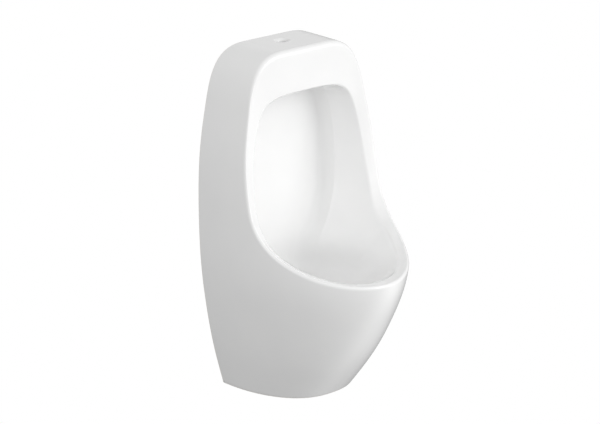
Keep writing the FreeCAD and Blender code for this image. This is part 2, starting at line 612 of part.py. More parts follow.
def trap_cup_ring():
    """Ribbed ring nut that pulls the cup up onto the head."""
    bore = HEAD_OUTSIDE + 2 * NUT_CLEARANCE
    outside = bore + 2 * RING_WALL
    low = CUP_TOP - CUP_FLANGE_HEIGHT - RING_WALL
    high = HEAD_BOTTOM + RING_OVERLAP
    nut = disc(outside, low, high)
    rib_width = math.pi * outside / RING_RIBS / 2

    def rib():
        root = bore / 2 + RING_RIB_ROOT
        return block(root, outside / 2 + SLIP_NUT_RIB, -rib_width / 2, rib_width / 2, low, high)

    nut = nut.fuse(around(RING_RIBS, rib))
    hole = disc(CUP_OUTSIDE + 2 * NUT_CLEARANCE, low - OVERRUN, high + OVERRUN)
    return nut.cut([disc(bore, low + RING_WALL, high + OVERRUN), hole]).translated(DRAIN)


def branch_place(shape):
    """Turns a nut or washer, made upright with its open end at height 0, onto the branch's end."""
    turned = shape.copy()
    turned.rotate(Vector(0, 0, 0), Vector(1, 0, 0), -90)
    end = -DRAIN_DEPTH + HEAD_OUTSIDE / 2 + BRANCH_LENGTH
    return turned.translated(Vector(0, end, BRANCH_HEIGHT))


def trap_outlet_nut():
    """Union nut between the branch and the outlet pipe."""
    nut = slip_nut(NECK_OUTSIDE, PIPE_OUTSIDE, BRANCH_THREAD)
    return branch_place(nut.translated(Vector(0, 0, -BRANCH_THREAD)))


def trap_outlet_washer():
    """Its rubber washer."""
    return branch_place(ring(NECK_OUTSIDE, PIPE_OUTSIDE, 0, SLIP_WASHER_HEIGHT))


def outlet_pipe():
    """Pipe from the branch through the wall plane into the waste socket, marked at the wall."""
    wall = DRAIN_DEPTH - HEAD_OUTSIDE / 2 - BRANCH_LENGTH
    pipe = ring(PIPE_OUTSIDE, PIPE_OUTSIDE - 2 * PIPE_WALL, -PIPE_SOCKET, wall + PIPE_PAST_WALL)
    around_pipe = PIPE_OUTSIDE + 2 * OVERRUN
    mark = ring(around_pipe, PIPE_OUTSIDE - 2 * PIPE_MARK_DEPTH, wall, wall + PIPE_MARK_WIDTH)
    return branch_place(pipe.cut(mark))


def wall_seal():
    """Rubber collar round the pipe, against the wall."""
    start = Vector(0, -WALL_SEAL_HEIGHT, BRANCH_HEIGHT)
    to_wall = Vector(0, 1, 0)
    lip = PIPE_OUTSIDE / 2 + PLASTIC_WALL
    cone = Part.makeCone(lip, WALL_SEAL_WIDTH / 2, WALL_SEAL_HEIGHT, start, to_wall)
    return cone.cut(Part.makeCylinder(PIPE_OUTSIDE / 2, WALL_SEAL_HEIGHT, start, to_wall))


# --- Fixing to the wall --------------------------------------------------------------------------
def hanger(middle):
    """Steel plate on the wall with an upturned hook that carries the china rail."""
    left, right = middle - HANGER_WIDTH / 2, middle + HANGER_WIDTH / 2
    hook_back = RAIL_BACK + RAIL_WALL + HOOK_PLAY
    arm_low = RAIL_BOTTOM - HANGER_STEEL
    top = HANGER_HEIGHT + HANGER_HOLE_PITCH / 2 + HANGER_EDGE
    steel = block(left, right, -HANGER_STEEL, 0, arm_low, top).fuse([
        block(left, right, -hook_back - HANGER_STEEL, 0, arm_low, RAIL_BOTTOM),
        block(left, right, -hook_back - HANGER_STEEL, -hook_back, arm_low, RAIL_BOTTOM + HOOK_HEIGHT),
    ]).removeSplitter()
    holes = []
    for offset in (-HANGER_HOLE_PITCH / 2, HANGER_HOLE_PITCH / 2):
        place = Vector(middle, -2 * HANGER_STEEL, HANGER_HEIGHT + offset)
        holes.append(Part.makeCylinder(HANGER_HOLE / 2, 3 * HANGER_STEEL, place, Vector(0, 1, 0)))
    return steel.cut(holes)


def foot_angle(side):
    """Steel angle on the wall with a leg under the china ledge."""
    left, right = side * LEDGE_MIDDLE - FOOT_WIDTH / 2, side * LEDGE_MIDDLE + FOOT_WIDTH / 2
    steel = block(left, right, -FOOT_STEEL, 0, FOOT_HOLE_HEIGHT - FOOT_EDGE, FOOT_LEG_TOP).fuse(
        block(left, right, -FOOT_LEG, 0, FOOT_LEG_TOP - FOOT_STEEL, FOOT_LEG_TOP)).removeSplitter()
    screw = Vector(side * LEDGE_MIDDLE, -2 * FOOT_STEEL, FOOT_HOLE_HEIGHT)
    bolt = Vector(side * LEDGE_MIDDLE, -FOOT_BOLT_DEPTH, 0)
    return steel.cut([
        Part.makeCylinder(FOOT_HOLE / 2, 3 * FOOT_STEEL, screw, Vector(0, 1, 0)),
        disc(FOOT_BOLT_HOLE, FOOT_LEG_TOP - 2 * FOOT_STEEL, FOOT_LEG_TOP + FOOT_STEEL, bolt),
    ])


def both_sides(make):
    """The same small piece at both foot bolts, as one group."""
    return Part.makeCompound([make(Vector(side * LEDGE_MIDDLE, -FOOT_BOLT_DEPTH, 0)) for side in (-1, 1)])


def foot_bolt(place):
    """Hexagonal bolt, up through angle, pad and ledge."""
    low = FOOT_LEG_TOP - FOOT_STEEL
    high = LEDGE_HEIGHT + LEDGE_WALL + BOLT_NUT_HEIGHT + FOOT_BOLT_SPARE
    head = hexagon(BOLT_HEAD_FLATS, low - BOLT_HEAD_HEIGHT, low, place)
    return head.fuse(disc(FOOT_BOLT, low, high, place))


def foot_nut(place):
    """Its nut, on the ledge."""
    low = LEDGE_HEIGHT + LEDGE_WALL
    nut = hexagon(BOLT_HEAD_FLATS, low, low + BOLT_NUT_HEIGHT, place)
    return nut.cut(disc(FOOT_BOLT, low - OVERRUN, low + OVERRUN, place))


def foot_pad(place):
    """Rubber pad between angle and ledge."""
    return ring(FOOT_WIDTH, FOOT_BOLT_HOLE, FOOT_LEG_TOP, LEDGE_HEIGHT, place)


# --- Assembly ------------------------------------------------------------------------------------
PIECES = {
    "china_body": china_body,
    "inlet_seal": inlet_seal,
    "inlet_tube": inlet_tube,
    "spreader": spreader,
    "spreader_washer": spreader_washer,
    "spreader_nut": spreader_nut,
    "strainer": strainer,
    "waste_flange": waste_flange,
    "waste_gasket": waste_gasket,
    "waste_washer": waste_washer,
    "waste_nut": waste_nut,
    "trap_inlet_nut": trap_inlet_nut,
    "trap_inlet_washer": trap_inlet_washer,
    "trap_body": trap_body,
    "trap_dip_tube": trap_dip_tube,
    "trap_cup": trap_cup,
    "trap_cup_seal": trap_cup_seal,
    "trap_cup_ring": trap_cup_ring,
    "trap_outlet_nut": trap_outlet_nut,
    "trap_outlet_washer": trap_outlet_washer,
    "outlet_pipe": outlet_pipe,
    "wall_seal": wall_seal,
    "hanger_left": lambda: hanger(-HANGER_SPACING / 2),
    "hanger_right": lambda: hanger(HANGER_SPACING / 2),
    "foot_angle_left": lambda: foot_angle(-1),
    "foot_angle_right": lambda: foot_angle(1),
    "foot_bolts": lambda: both_sides(foot_bolt),
    "foot_nuts": lambda: both_sides(foot_nut),
    "foot_pads": lambda: both_sides(foot_pad),
}

os.makedirs("parts", exist_ok=True)
for name, make in PIECES.items():
    shape = make().translated(Vector(0, 0, -HANGER_HEIGHT))
    shape.exportStep(f"parts/{name}.step")
    print(f"{name:20s} solids {len(shape.Solids)} valid {shape.isValid()} volume {shape.Volume / 1000:.1f} cm3")
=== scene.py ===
import bmesh
import bpy
import numpy as np
from mathutils import Matrix, Vector


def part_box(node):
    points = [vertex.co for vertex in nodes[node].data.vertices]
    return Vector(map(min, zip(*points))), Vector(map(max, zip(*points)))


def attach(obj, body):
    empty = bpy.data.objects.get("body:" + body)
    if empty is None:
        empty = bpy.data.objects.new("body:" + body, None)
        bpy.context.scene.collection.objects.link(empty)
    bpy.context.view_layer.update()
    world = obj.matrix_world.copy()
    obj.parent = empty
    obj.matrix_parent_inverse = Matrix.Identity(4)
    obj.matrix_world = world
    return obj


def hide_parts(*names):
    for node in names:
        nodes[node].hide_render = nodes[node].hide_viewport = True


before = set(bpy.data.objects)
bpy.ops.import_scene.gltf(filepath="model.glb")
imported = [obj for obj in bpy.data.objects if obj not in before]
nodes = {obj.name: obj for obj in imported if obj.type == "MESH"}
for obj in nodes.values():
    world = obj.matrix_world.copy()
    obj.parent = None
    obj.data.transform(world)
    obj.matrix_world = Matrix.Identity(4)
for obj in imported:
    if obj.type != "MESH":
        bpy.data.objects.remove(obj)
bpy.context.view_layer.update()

# --- Camera ---------------------------------------------------------------------------------------
# The photograph looks from the front left and a little above, from far away, with the picture
# turned a touch. Lengths are in millimetres from here on, with heights from the body's lower edge.
MM = 0.001
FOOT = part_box("china_body")[0].z / MM          # the lower edge in the frame, below the screw holes
VIEW_TURN = 40.53                              # degrees to the left of straight ahead
VIEW_RISE = 18.35
VIEW_ROLL = 0.772
VIEW_DISTANCE = 4177.8
VIEW_TARGET = (-28.6, -120.0, 341.9)
VIEW_LENS = 139.85                             # on a 36 mm wide sensor
VIEW_REACH = 50                                # metres


def look(turn, rise):
    """Unit vector from the target to a viewer at these angles, in degrees: minus sine and minus cosine of
    the turn, both times the cosine of the rise, and its sine."""
    turn, rise = np.radians(turn), np.radians(rise)
    return np.array([-np.sin(turn) * np.cos(rise), -np.cos(turn) * np.cos(rise), np.sin(rise)])


camera_lens = bpy.data.cameras.new("camera")
camera_lens.lens = VIEW_LENS
camera_lens.clip_end = VIEW_REACH
camera = bpy.data.objects.new("camera", camera_lens)
to_camera = look(VIEW_TURN, VIEW_RISE)
camera_at = np.array(VIEW_TARGET) + to_camera * VIEW_DISTANCE + (0, 0, FOOT)
camera_turn = Vector(to_camera).to_track_quat("Z", "Y").to_matrix().to_4x4()
camera_roll = Matrix.Rotation(np.radians(-VIEW_ROLL), 4, "Z")
camera.matrix_world = Matrix.Translation(Vector(camera_at * MM)) @ camera_turn @ camera_roll
bpy.context.scene.collection.objects.link(camera)
bpy.context.scene.camera = camera

# --- China body -----------------------------------------------------------------------------------
# One slip-cast piece of vitreous china, glazed all over: outer shell, lip, wings and brow, and the
# bowl. It is open at the back and below, where the shell shows its 10 mm wall.
BODY_HEIGHT = 640.0
SHOULDER_HEIGHT = 540.0
TOP_HALF_WIDTH = 52.0
SHOULDER_LEAN, SHOULDER_RISE, SHOULDER_RUN = 0.21, 65.0, 62.0
# height, half width, depth and fullness at the sides and at the front of the D-shaped plan
SKIN_STATIONS = np.array([
    (0.0, 118.0, 172.0, 2.45, 2.0),
    (80.0, 139.0, 236.0, 2.3, 2.15),
    (160.0, 153.5, 286.0, 2.1, 2.35),
    (250.0, 163.5, 324.0, 1.9, 2.55),
    (320.0, 165.5, 328.0, 1.9, 2.45),
    (400.0, 164.0, 332.0, 1.9, 2.3),
    (480.0, 156.0, 336.0, 1.9, 2.15),
    (SHOULDER_HEIGHT, 144.0, 339.0, 1.9, 2.05),
])
# depth and height of the side view of lip, wings and brow
RIM_PROFILE = np.array([
    (345.0, 247.5), (323.5, 252.0), (299.0, 257.6), (261.0, 267.8), (215.0, 285.0), (169.0, 312.4),
    (140.6, 348.0), (127.2, 394.5), (118.5, 451.2), (113.0, 518.4), (110.0, 576.0), (110.5, BODY_HEIGHT),
])
SEAT = 184.0                                   # bowl floor, flush with the outlet flange
CEILING = 560.0
BOWL_BACK = 30.0
# height, half width, back depth, front depth and fullness of the front and back corners, from the
# outlet's edge round to the ceiling
BOWL_STATIONS = np.array([
    (SEAT, 35.0, 57.0, 127.0, 2.0, 2.0),
    (SEAT + 1.5, 48.0, 43.0, 144.0, 2.1, 2.1),
    (SEAT + 12.0, 70.0, 35.0, 186.0, 2.2, 2.6),
    (SEAT + 36.0, 88.0, BOWL_BACK, 252.0, 2.15, 3.2),
    (SEAT + 72.0, 99.0, BOWL_BACK, 303.0, 2.2, 4.2),
    (SEAT + 97.0, 116.5, BOWL_BACK, 312.0, 2.3, 5.5),
    (SEAT + 131.6, 134.9, BOWL_BACK, 314.0, 2.5, 8.0),
    (SEAT + 165.4, 146.6, BOWL_BACK, 314.0, 2.7, 10.0),
    (SEAT + 210.6, 150.3, BOWL_BACK, 314.0, 2.8, 10.0),
    (SEAT + 259.4, 148.8, BOWL_BACK, 314.0, 2.9, 10.0),
    (SEAT + 308.3, 139.9, BOWL_BACK, 314.0, 3.0, 10.0),
    (CEILING - 34.0, 127.7, BOWL_BACK, 314.0, 3.0, 9.0),
    (CEILING - 16.0, 113.6, 31.0, 314.0, 3.0, 8.0),
    (CEILING - 6.0, 93.3, 33.5, 314.0, 3.0, 6.0),
    (CEILING - 1.0, 62.5, 44.0, 300.0, 2.9, 4.0),
    (CEILING, 28.8, 90.0, 250.0, 2.6, 3.0),
    (CEILING, 1.0, 168.0, 172.0, 2.2, 2.2),
])
# share by which the bowl narrows towards its back, the share of the way back where that is reached, how
# gently it starts, and the height above the outlet over which it sets in
BOWL_TAPER, TAPER_REACH, TAPER_EASE, TAPER_RISE = 0.311, 0.754, 1.3, 50.0
# height, and how far the open front's face falls back there between its outer and its inner edge
FACE_FALL = np.array([
    (248.0, 26.0), (262.0, 28.1), (280.0, 26.0), (300.0, 21.6), (325.0, 14.2), (355.0, 8.4),
    (400.0, 7.3), (450.0, 6.5), (510.0, 5.0), (560.0, 2.5),
])
FALL_EASE = 1.25                               # above 1 the face starts flat at its outer edge
# share of the rim from the lip to the top, and rounding of its outer edge there
OUTER_ROUND = np.array([
    (0.0, 7.0), (0.2, 7.0), (0.38, 6.5), (0.55, 5.5), (0.76, 5.0), (0.86, 9.0), (0.92, 10.5), (1.0, 10.5),
])
INNER_ROUND = 4.0                              # rounding of the rim's inner edge
SHELL_WALL = 10.0
EDGE_ROUND = 2.0                               # rounding of the back and lower edges
COLUMNS = 150                                  # mesh columns on each side of the centre line
SIDE_STEPS, SHOULDER_STEPS, TOP_STEPS = 108, 40, 26       # mesh steps of the skin's generator


def curve(places, values, where):
    """Natural cubic spline through values at increasing places: each stretch is a cubic whose second
    derivatives, found from one linear system, agree with its neighbours' and vanish at the ends."""
    gaps = np.diff(places)
    count = len(places)
    system = np.eye(count)
    inner = np.arange(1, count - 1)
    system[inner, inner - 1] = gaps[:-1]
    system[inner, inner] = 2 * (gaps[:-1] + gaps[1:])
    system[inner, inner + 1] = gaps[1:]
    right = np.zeros(values.shape)
    slopes = np.diff(values, axis=0) / gaps[:, None]
    right[1:-1] = 6 * np.diff(slopes, axis=0)
    bend = np.linalg.solve(system, right)
    at = np.clip(np.searchsorted(places, where, side="right") - 1, 0, count - 2)
    gap = gaps[at][..., None]
    after = (where - places[at])[..., None]
    before = gap - after
    return (
        (bend[at] * before ** 3 + bend[at + 1] * after ** 3) / (6 * gap)
        + (values[at] / gap - bend[at] * gap / 6) * before
        + (values[at + 1] / gap - bend[at + 1] * gap / 6) * after
    )


def lengths(points):
    """Running length along rows of points, from 0."""
    return np.concatenate([[0.0], np.cumsum(np.linalg.norm(np.diff(points, axis=0), axis=1))])


NEWTON_STEPS = 16


def polar(angle, sides, front):
    """Radius of the unit curve |x|^sides + |y|^front = 1 at an angle, by Newton steps from 1."""
    across, along = np.abs(np.cos(angle)), np.abs(np.sin(angle))
    radius = np.ones(np.broadcast(angle, sides).shape)
    for _ in range(NEWTON_STEPS):
        first, second = (radius * across) ** sides, (radius * along) ** front
        radius = radius - (first + second - 1) * radius / (sides * first + front * second)
    return radius


# The skin's generator: up the sides, round the shoulder, then in along the flat top to the centre line.
# The shoulder is a cubic Bezier curve between four points of half width and height.
side_heights = np.linspace(0, SHOULDER_HEIGHT, SIDE_STEPS + 1)
side_rows = curve(SKIN_STATIONS[:, 0], SKIN_STATIONS[:, 1:], side_heights)
shoulder_half = SKIN_STATIONS[-1, 1]
shoulder_points = np.array([
    (shoulder_half, SHOULDER_HEIGHT),
    (shoulder_half - SHOULDER_LEAN * SHOULDER_RISE, SHOULDER_HEIGHT + SHOULDER_RISE),
    (TOP_HALF_WIDTH + SHOULDER_RUN, BODY_HEIGHT),
    (TOP_HALF_WIDTH, BODY_HEIGHT),
])
shoulder = np.linspace(0, 1, SHOULDER_STEPS + 1)[1:, None]
shoulder_line = (
    (1 - shoulder) ** 3 * shoulder_points[0] + 3 * (1 - shoulder) ** 2 * shoulder * shoulder_points[1]
    + 3 * (1 - shoulder) * shoulder ** 2 * shoulder_points[2] + shoulder ** 3 * shoulder_points[3]
)
top_half_widths = np.linspace(TOP_HALF_WIDTH, 0, TOP_STEPS + 1)[1:]
skin_rows = np.vstack([
    np.column_stack([side_heights, side_rows]),
    np.column_stack([shoulder_line[:, ::-1], np.tile(side_rows[-1, 1:], (SHOULDER_STEPS, 1))]),
    np.column_stack([
        np.full(TOP_STEPS, BODY_HEIGHT), top_half_widths, np.tile(side_rows[-1, 1:], (TOP_STEPS, 1))]),
])
skin_up = lengths(skin_rows[:, :2])
SKIN_TOP = skin_up[-1]

# Running length up the bowl, from its stations' heights, half widths and part of their front depths. The
# last two lie in the flat ceiling, so their steps are set.
FRONT_SHARE = 0.3
CEILING_STEPS = np.array([40.0, 110.0])
bowl_up = lengths(BOWL_STATIONS[:, [0, 1]] + BOWL_STATIONS[:, [3]] * (0, FRONT_SHARE))
bowl_up[-2:] = bowl_up[-3] + CEILING_STEPS


def skin_level(up):
    """Height, half width, depth and the two fullnesses of the skin's level, straight between its rows."""
    return [np.interp(up, skin_up, skin_rows[:, column]) for column in range(skin_rows.shape[1])]


def skin(angle, up):
    """Outer skin: angle runs from the wall on the right (0) to the front centre (90 degrees), up runs
    along the generator. Each level is a D, |x / half width|^sides + |y / depth|^front = 1."""
    height, half_width, depth, sides, front = skin_level(up)
    radius = polar(angle, sides, front)
    return np.stack([half_width * radius * np.cos(angle), -depth * radius * np.sin(angle), height], axis=-1)


def bowl_level(up):
    """Height, half width, back and front depth and the two fullnesses of the bowl's level, by spline."""
    return np.moveaxis(curve(bowl_up, BOWL_STATIONS, up), -1, 0)


def bowl(angle, up):
    """Bowl: angle runs from the back centre (0) over the right side to the front centre (180 degrees), up
    runs from the outlet's edge to the middle of the ceiling. Each level is a superellipse, and its back
    half is narrowed by the taper times a power of the way back."""
    height, half_width, back, front, fullness, back_fullness = bowl_level(up)
    fullness = np.where(np.cos(angle) > 0, back_fullness, fullness)
    radius = polar(angle, fullness, fullness)
    middle, reach = (back + front) / 2, (front - back) / 2
    along = radius * np.cos(angle)
    set_in = np.tanh((height - SEAT) / TAPER_RISE)
    taper = BOWL_TAPER * set_in * np.clip(along / TAPER_REACH, 0, 1) ** TAPER_EASE
    across = half_width * radius * np.sin(angle) * (1 - taper)
    return np.stack([across, reach * along - middle, height], axis=-1)


# Side view of the open front, as a fine line through the profile's points
PROFILE_SAMPLES = 4000
profile_along = lengths(RIM_PROFILE)
profile_fine = np.linspace(0, profile_along[-1], PROFILE_SAMPLES)
profile_points = curve(profile_along, RIM_PROFILE, profile_fine)


def profile_depth(height):
    """Depth of the open front at a height, straight between the fine line's points."""
    return np.interp(height, profile_points[:, 1], profile_points[:, 0])


def face_fall(height):
    """How far the face has fallen back at its inner edge at a height, by spline."""
    within = np.clip(height, FACE_FALL[0, 0], FACE_FALL[-1, 0])
    return curve(FACE_FALL[:, 0], FACE_FALL[:, 1:], within)[..., 0]


RIM_SAMPLES = 6000


def rim_loop(surface, angle_at, up_low, up_high, count):
    """The curve where a surface meets the open front, from the lip's centre to the top centre, at even
    steps of its length. It is first sampled closely, with more samples near its ends, where up changes
    little. Returns the surface's angle and up at each step."""
    share = np.linspace(0, 1, RIM_SAMPLES)
    up = up_low + (up_high - up_low) * (share ** 3 * (1 - share) + (1 - (1 - share) ** 3) * share)
    angle = angle_at(up)
    run = lengths(surface(angle, up))
    even = np.linspace(0, run[-1], count)
    return np.interp(even, run, angle), np.interp(even, run, up)


def skin_angle(up):
    """Angle at which the skin's level meets the open front: its D is solved for x at the front's depth."""
    height, _, depth, sides, front = skin_level(up)
    share = np.clip(profile_depth(height) / depth, 0, 1)
    across = (1 - share ** front) ** (1 / sides)
    return np.arctan2(share, across)


def bowl_angle(up):
    """Angle at which the bowl's level meets the open front's inner edge: its superellipse is solved for x
    at that edge's depth."""
    height, _, back, front, fullness, back_fullness = bowl_level(up)
    depth = profile_depth(height) - face_fall(height)
    share = np.clip((depth - (back + front) / 2) / ((front - back) / 2), -1, 1)
    fullness = np.where(share < 0, back_fullness, fullness)
    across = (1 - np.abs(share) ** fullness) ** (1 / fullness)
    return np.arctan2(across, -share)


HALVINGS = 60


def crossing(low, high, gap):
    """The place between low and high where gap changes sign, by halving."""
    for _ in range(HALVINGS):
        middle = (low + high) / 2
        if gap(low) * gap(middle) <= 0:
            high = middle
        else:
            low = middle
    return (low + high) / 2


def skin_gap(up):
    """How far the open front stands before the skin's front centre."""
    point = skin(np.array([np.pi / 2]), np.array([up]))[0]
    return point[1] + profile_depth(point[2])


def bowl_gap(angle):
    """How far the open front's inner edge stands before the bowl's centre line, front or back."""
    def gap(up):
        point = bowl(np.array([angle]), np.array([up]))[0]
        return point[1] + profile_depth(point[2]) - face_fall(point[2])
    return gap


# The rim's two curves. Each search starts from two rows or stations on either side of the front's edge: on
# the skin at heights of 150 and 350 mm, in the bowl on its front centre line and then on its ceiling.
SKIN_LIP_ROWS, BOWL_LIP_STATIONS, BOWL_BROW_STATIONS = [30, 70], [3, 6], [13, -1]
columns = np.linspace(0, 1, COLUMNS + 1)
skin_lip = crossing(*skin_up[SKIN_LIP_ROWS], skin_gap)
outer_angle, outer_up = rim_loop(skin, skin_angle, skin_lip, SKIN_TOP, COLUMNS + 1)
bowl_lip = crossing(*bowl_up[BOWL_LIP_STATIONS], bowl_gap(np.pi))
bowl_brow = crossing(*bowl_up[BOWL_BROW_STATIONS], bowl_gap(0.0))
inner_angle, inner_up = rim_loop(bowl, bowl_angle, bowl_lip, bowl_brow, COLUMNS + 1)

NUDGE = (0.004, 0.4)                           # change of angle and of up over which slopes are taken


def walk(surface, angle, up, heading, distance, steps):
    """Walks over a surface from points at (angle, up) in fixed headings, in small steps. Each step solves
    the surface's two slopes for the change of angle and up that follows the heading best."""
    for _ in range(steps):
        by_angle = (surface(angle + NUDGE[0], up) - surface(angle - NUDGE[0], up)) / (2 * NUDGE[0])
        by_up = (surface(angle, up + NUDGE[1]) - surface(angle, up - NUDGE[1])) / (2 * NUDGE[1])
        aa = np.sum(by_angle ** 2, -1)
        ab = np.sum(by_angle * by_up, -1)
        bb = np.sum(by_up ** 2, -1)
        ah = np.sum(by_angle * heading, -1)
        bh = np.sum(by_up * heading, -1)
        whole = aa * bb - ab ** 2
        step = distance / steps
        angle = angle + step * (bb * ah - ab * bh) / whole
        up = up + step * (aa * bh - ab * ah) / whole
    return angle, up


def away(surface, angle, up):
    """Unit headings on a surface at right angles to its rim curve, towards the wall: the cross product of
    the surface's normal with the curve's direction, turned so that it goes back at the curve's middle."""
    points = surface(angle, up)
    along = np.gradient(points, axis=0)
    along[0], along[-1] = (1, 0, 0), (-1, 0, 0)
    along /= np.linalg.norm(along, axis=-1, keepdims=True)
    by_angle = surface(angle + NUDGE[0], up) - surface(angle - NUDGE[0], up)
    by_up = surface(angle, up + NUDGE[1]) - surface(angle, up - NUDGE[1])
    heading = np.cross(np.cross(by_angle, by_up), along)
    heading /= np.linalg.norm(heading, axis=-1, keepdims=True)
    return heading * np.sign(heading[len(heading) // 2, 1])


def straight(start, end, count):
    """Rows from start to end, both included, by even shares."""
    share = np.linspace(0, 1, count).reshape(-1, *([1] * start.ndim))
    return start + (end - start) * share


def rounding(first, edge, last, count):
    """Arc that leaves first and reaches last in the directions of their common edge: a weighted quadratic,
    with the cosine of half the turn as the middle point's weight."""
    ahead, behind = edge - first, last - edge
    turn = np.sum(ahead * behind, -1) / (np.linalg.norm(ahead, axis=-1) * np.linalg.norm(behind, axis=-1))
    weight = np.sqrt(np.clip((1 + turn) / 2, 0, 1))[..., None]
    share = np.linspace(0, 1, count).reshape(-1, 1, 1)
    parts = ((1 - share) ** 2, 2 * weight * share * (1 - share), share ** 2)
    return (parts[0] * first + parts[1] * edge + parts[2] * last) / sum(parts)


BAND = 20.0                                    # mesh rows run square to the rim this far from it
BAND_SHARES = (0.15, 0.4, 0.7)                 # and lie at these shares of the band's plain part
ROUND_WALK, ROW_WALK, BAND_WALK = 6, 8, 12     # steps to the rounding, to a row and to the band's end
SKIN_ROWS, BOWL_ROWS = 76, 96

# Rows on the skin, from the back and lower edges up to the rim. By its share of the rim, each column ends
# on the lower edge, at the angles of END_TURNS, or past the corner on the back edge, at the places of
# END_PLACES, which are lengths along the generator.
CORNER_SHARE = 0.40
END_TURNS = np.array([(0.0, 90.0), (0.12, 66.0), (0.24, 38.0), (CORNER_SHARE, 0.0)])
END_PLACES = np.array([
    (CORNER_SHARE, 0.0), (0.52, 270.0), (0.80, skin_up[SIDE_STEPS] + 20.0), (1.0, SKIN_TOP),
])
end_angle = np.radians(np.interp(columns, END_TURNS[:, 0], END_TURNS[:, 1]))
end_up = np.where(columns < CORNER_SHARE, 0.0, np.interp(columns, END_PLACES[:, 0], END_PLACES[:, 1]))
outer_heading = away(skin, outer_angle, outer_up)
outer_round = curve(OUTER_ROUND[:, 0], OUTER_ROUND[:, 1:], columns)[:, 0]
round_angle, round_up = walk(skin, outer_angle, outer_up, outer_heading, outer_round, ROUND_WALK)
band_angle, band_up = walk(skin, outer_angle, outer_up, outer_heading, BAND, BAND_WALK)
skin_grid = skin(straight(end_angle, band_angle, SKIN_ROWS), straight(end_up, band_up, SKIN_ROWS))
skin_plain, bowl_plain = BAND - outer_round, BAND - INNER_ROUND
skin_band = np.stack([
    skin(*walk(skin, outer_angle, outer_up, outer_heading, outer_round + skin_plain * share, ROW_WALK))
    for share in BAND_SHARES[::-1]])
skin_round = skin(round_angle, round_up)
outer_edge = skin(outer_angle, outer_up)

# Rows on the bowl, from the rim down to the outlet. The columns keep their heading where the band ends,
# then bend down to their place on the outlet, as quadratic Bezier curves in angle and up.
BAND_STEP = 2.0                                # the band's last step, which gives the heading
BEND_REACH = 36.0                              # how far on the heading the curve's middle point lies
FLOOR_SHARES = np.array([(0.0, 1.0), (0.28, 0.66), (0.42, 0.45), (0.56, 0.30), (0.72, 0.17), (1.0, 0.0)])
inner_heading = away(bowl, inner_angle, inner_up)
bowl_round = bowl(*walk(bowl, inner_angle, inner_up, inner_heading, INNER_ROUND, ROUND_WALK))
bowl_band = np.stack([
    bowl(*walk(bowl, inner_angle, inner_up, inner_heading, INNER_ROUND + bowl_plain * share, ROW_WALK))
    for share in BAND_SHARES])
bowl_before = np.stack(walk(bowl, inner_angle, inner_up, inner_heading, BAND - BAND_STEP, BAND_WALK - 1))
bowl_start = np.stack(walk(bowl, inner_angle, inner_up, inner_heading, BAND, BAND_WALK))
inner_edge = bowl(inner_angle, inner_up)
floor_angle = np.pi * np.interp(columns, FLOOR_SHARES[:, 0], FLOOR_SHARES[:, 1])
bowl_ahead = bowl_start + (bowl_start - bowl_before) / BAND_STEP * BEND_REACH
bowl_end = np.stack([floor_angle, np.zeros(COLUMNS + 1)])
down = np.linspace(0, 1, BOWL_ROWS)[:, None, None]
bowl_paths = (1 - down) ** 2 * bowl_start + 2 * down * (1 - down) * bowl_ahead + down ** 2 * bowl_end
bowl_grid = bowl(bowl_paths[:, 0], bowl_paths[:, 1])


def front_face(share):
    """Points on the open front, a share of the way from its outer to its inner edge: the side view's
    depth there, less the fall at the inner edge times a power of the share."""
    outer_along = np.interp(outer_edge[:, 2], profile_points[:, 1], profile_fine)
    inner_along = np.interp(inner_edge[:, 2], profile_points[:, 1], profile_fine)
    along = outer_along + (inner_along - outer_along) * share
    fall = profile_depth(inner_edge[:, 2]) + inner_edge[:, 1]
    depth = np.interp(along, profile_fine, profile_points[:, 0]) - fall * share ** FALL_EASE
    height = np.interp(along, profile_fine, profile_points[:, 1])
    across = outer_edge[:, 0] + (inner_edge[:, 0] - outer_edge[:, 0]) * share
    return np.stack([across, -depth, height], axis=-1)


FACE_ROWS, OUTER_ROUND_ROWS, INNER_ROUND_ROWS, EDGE_ROUND_ROWS = 9, 11, 8, 4
face_width = np.linalg.norm(inner_edge - outer_edge, axis=-1)
outer_share = outer_round / face_width
inner_share = 1 - INNER_ROUND / face_width
face_rows = np.stack([
    front_face(outer_share + (inner_share - outer_share) * share) for share in np.linspace(0, 1, FACE_ROWS)])
outer_rows = rounding(skin_round, outer_edge, face_rows[0], OUTER_ROUND_ROWS)
inner_rows = rounding(face_rows[-1], inner_edge, bowl_round, INNER_ROUND_ROWS)


NO_LENGTH = 1e-9


def offset(grid, wall, towards):
    """The grid moved through its wall, to the side on which a point lies, or for a negative wall to the
    other side: each point goes along the cross product of the grid's two slopes, at unit length."""
    normal = np.cross(np.gradient(grid, axis=0), np.gradient(grid, axis=1))
    normal /= np.maximum(np.linalg.norm(normal, axis=-1, keepdims=True), NO_LENGTH)
    side = np.sign(np.median(np.sum(normal * (towards - grid), -1)))
    moved = grid + normal * wall * side
    moved[:, [0, -1], 0] = 0.0
    return moved


# The skin's inside takes every fourth row, and the bowl's outside every fifth down to the drain's boss.
# The inside's first row lies in the plane of the wall and in that of the lower edge.
INSIDE_ROWS, OUTSIDE_ROWS = slice(None, None, 4), slice(0, 91, 5)
BODY_MIDDLE = np.array([0.0, -120.0, 300.0])   # a point in the bowl, which tells a wall's sides apart
skin_inside = offset(skin_grid, SHELL_WALL, BODY_MIDDLE)[INSIDE_ROWS]
skin_inside[0, columns >= CORNER_SHARE, 1] = 0.0
skin_inside[0, columns <= CORNER_SHARE, 2] = 0.0
bowl_outside = offset(bowl_grid, -SHELL_WALL, BODY_MIDDLE)[OUTSIDE_ROWS]


def along_row(first, second, distance):
    """Points a distance from the first row towards the second."""
    step = second - first
    return first + step * distance / np.linalg.norm(step, axis=-1, keepdims=True)


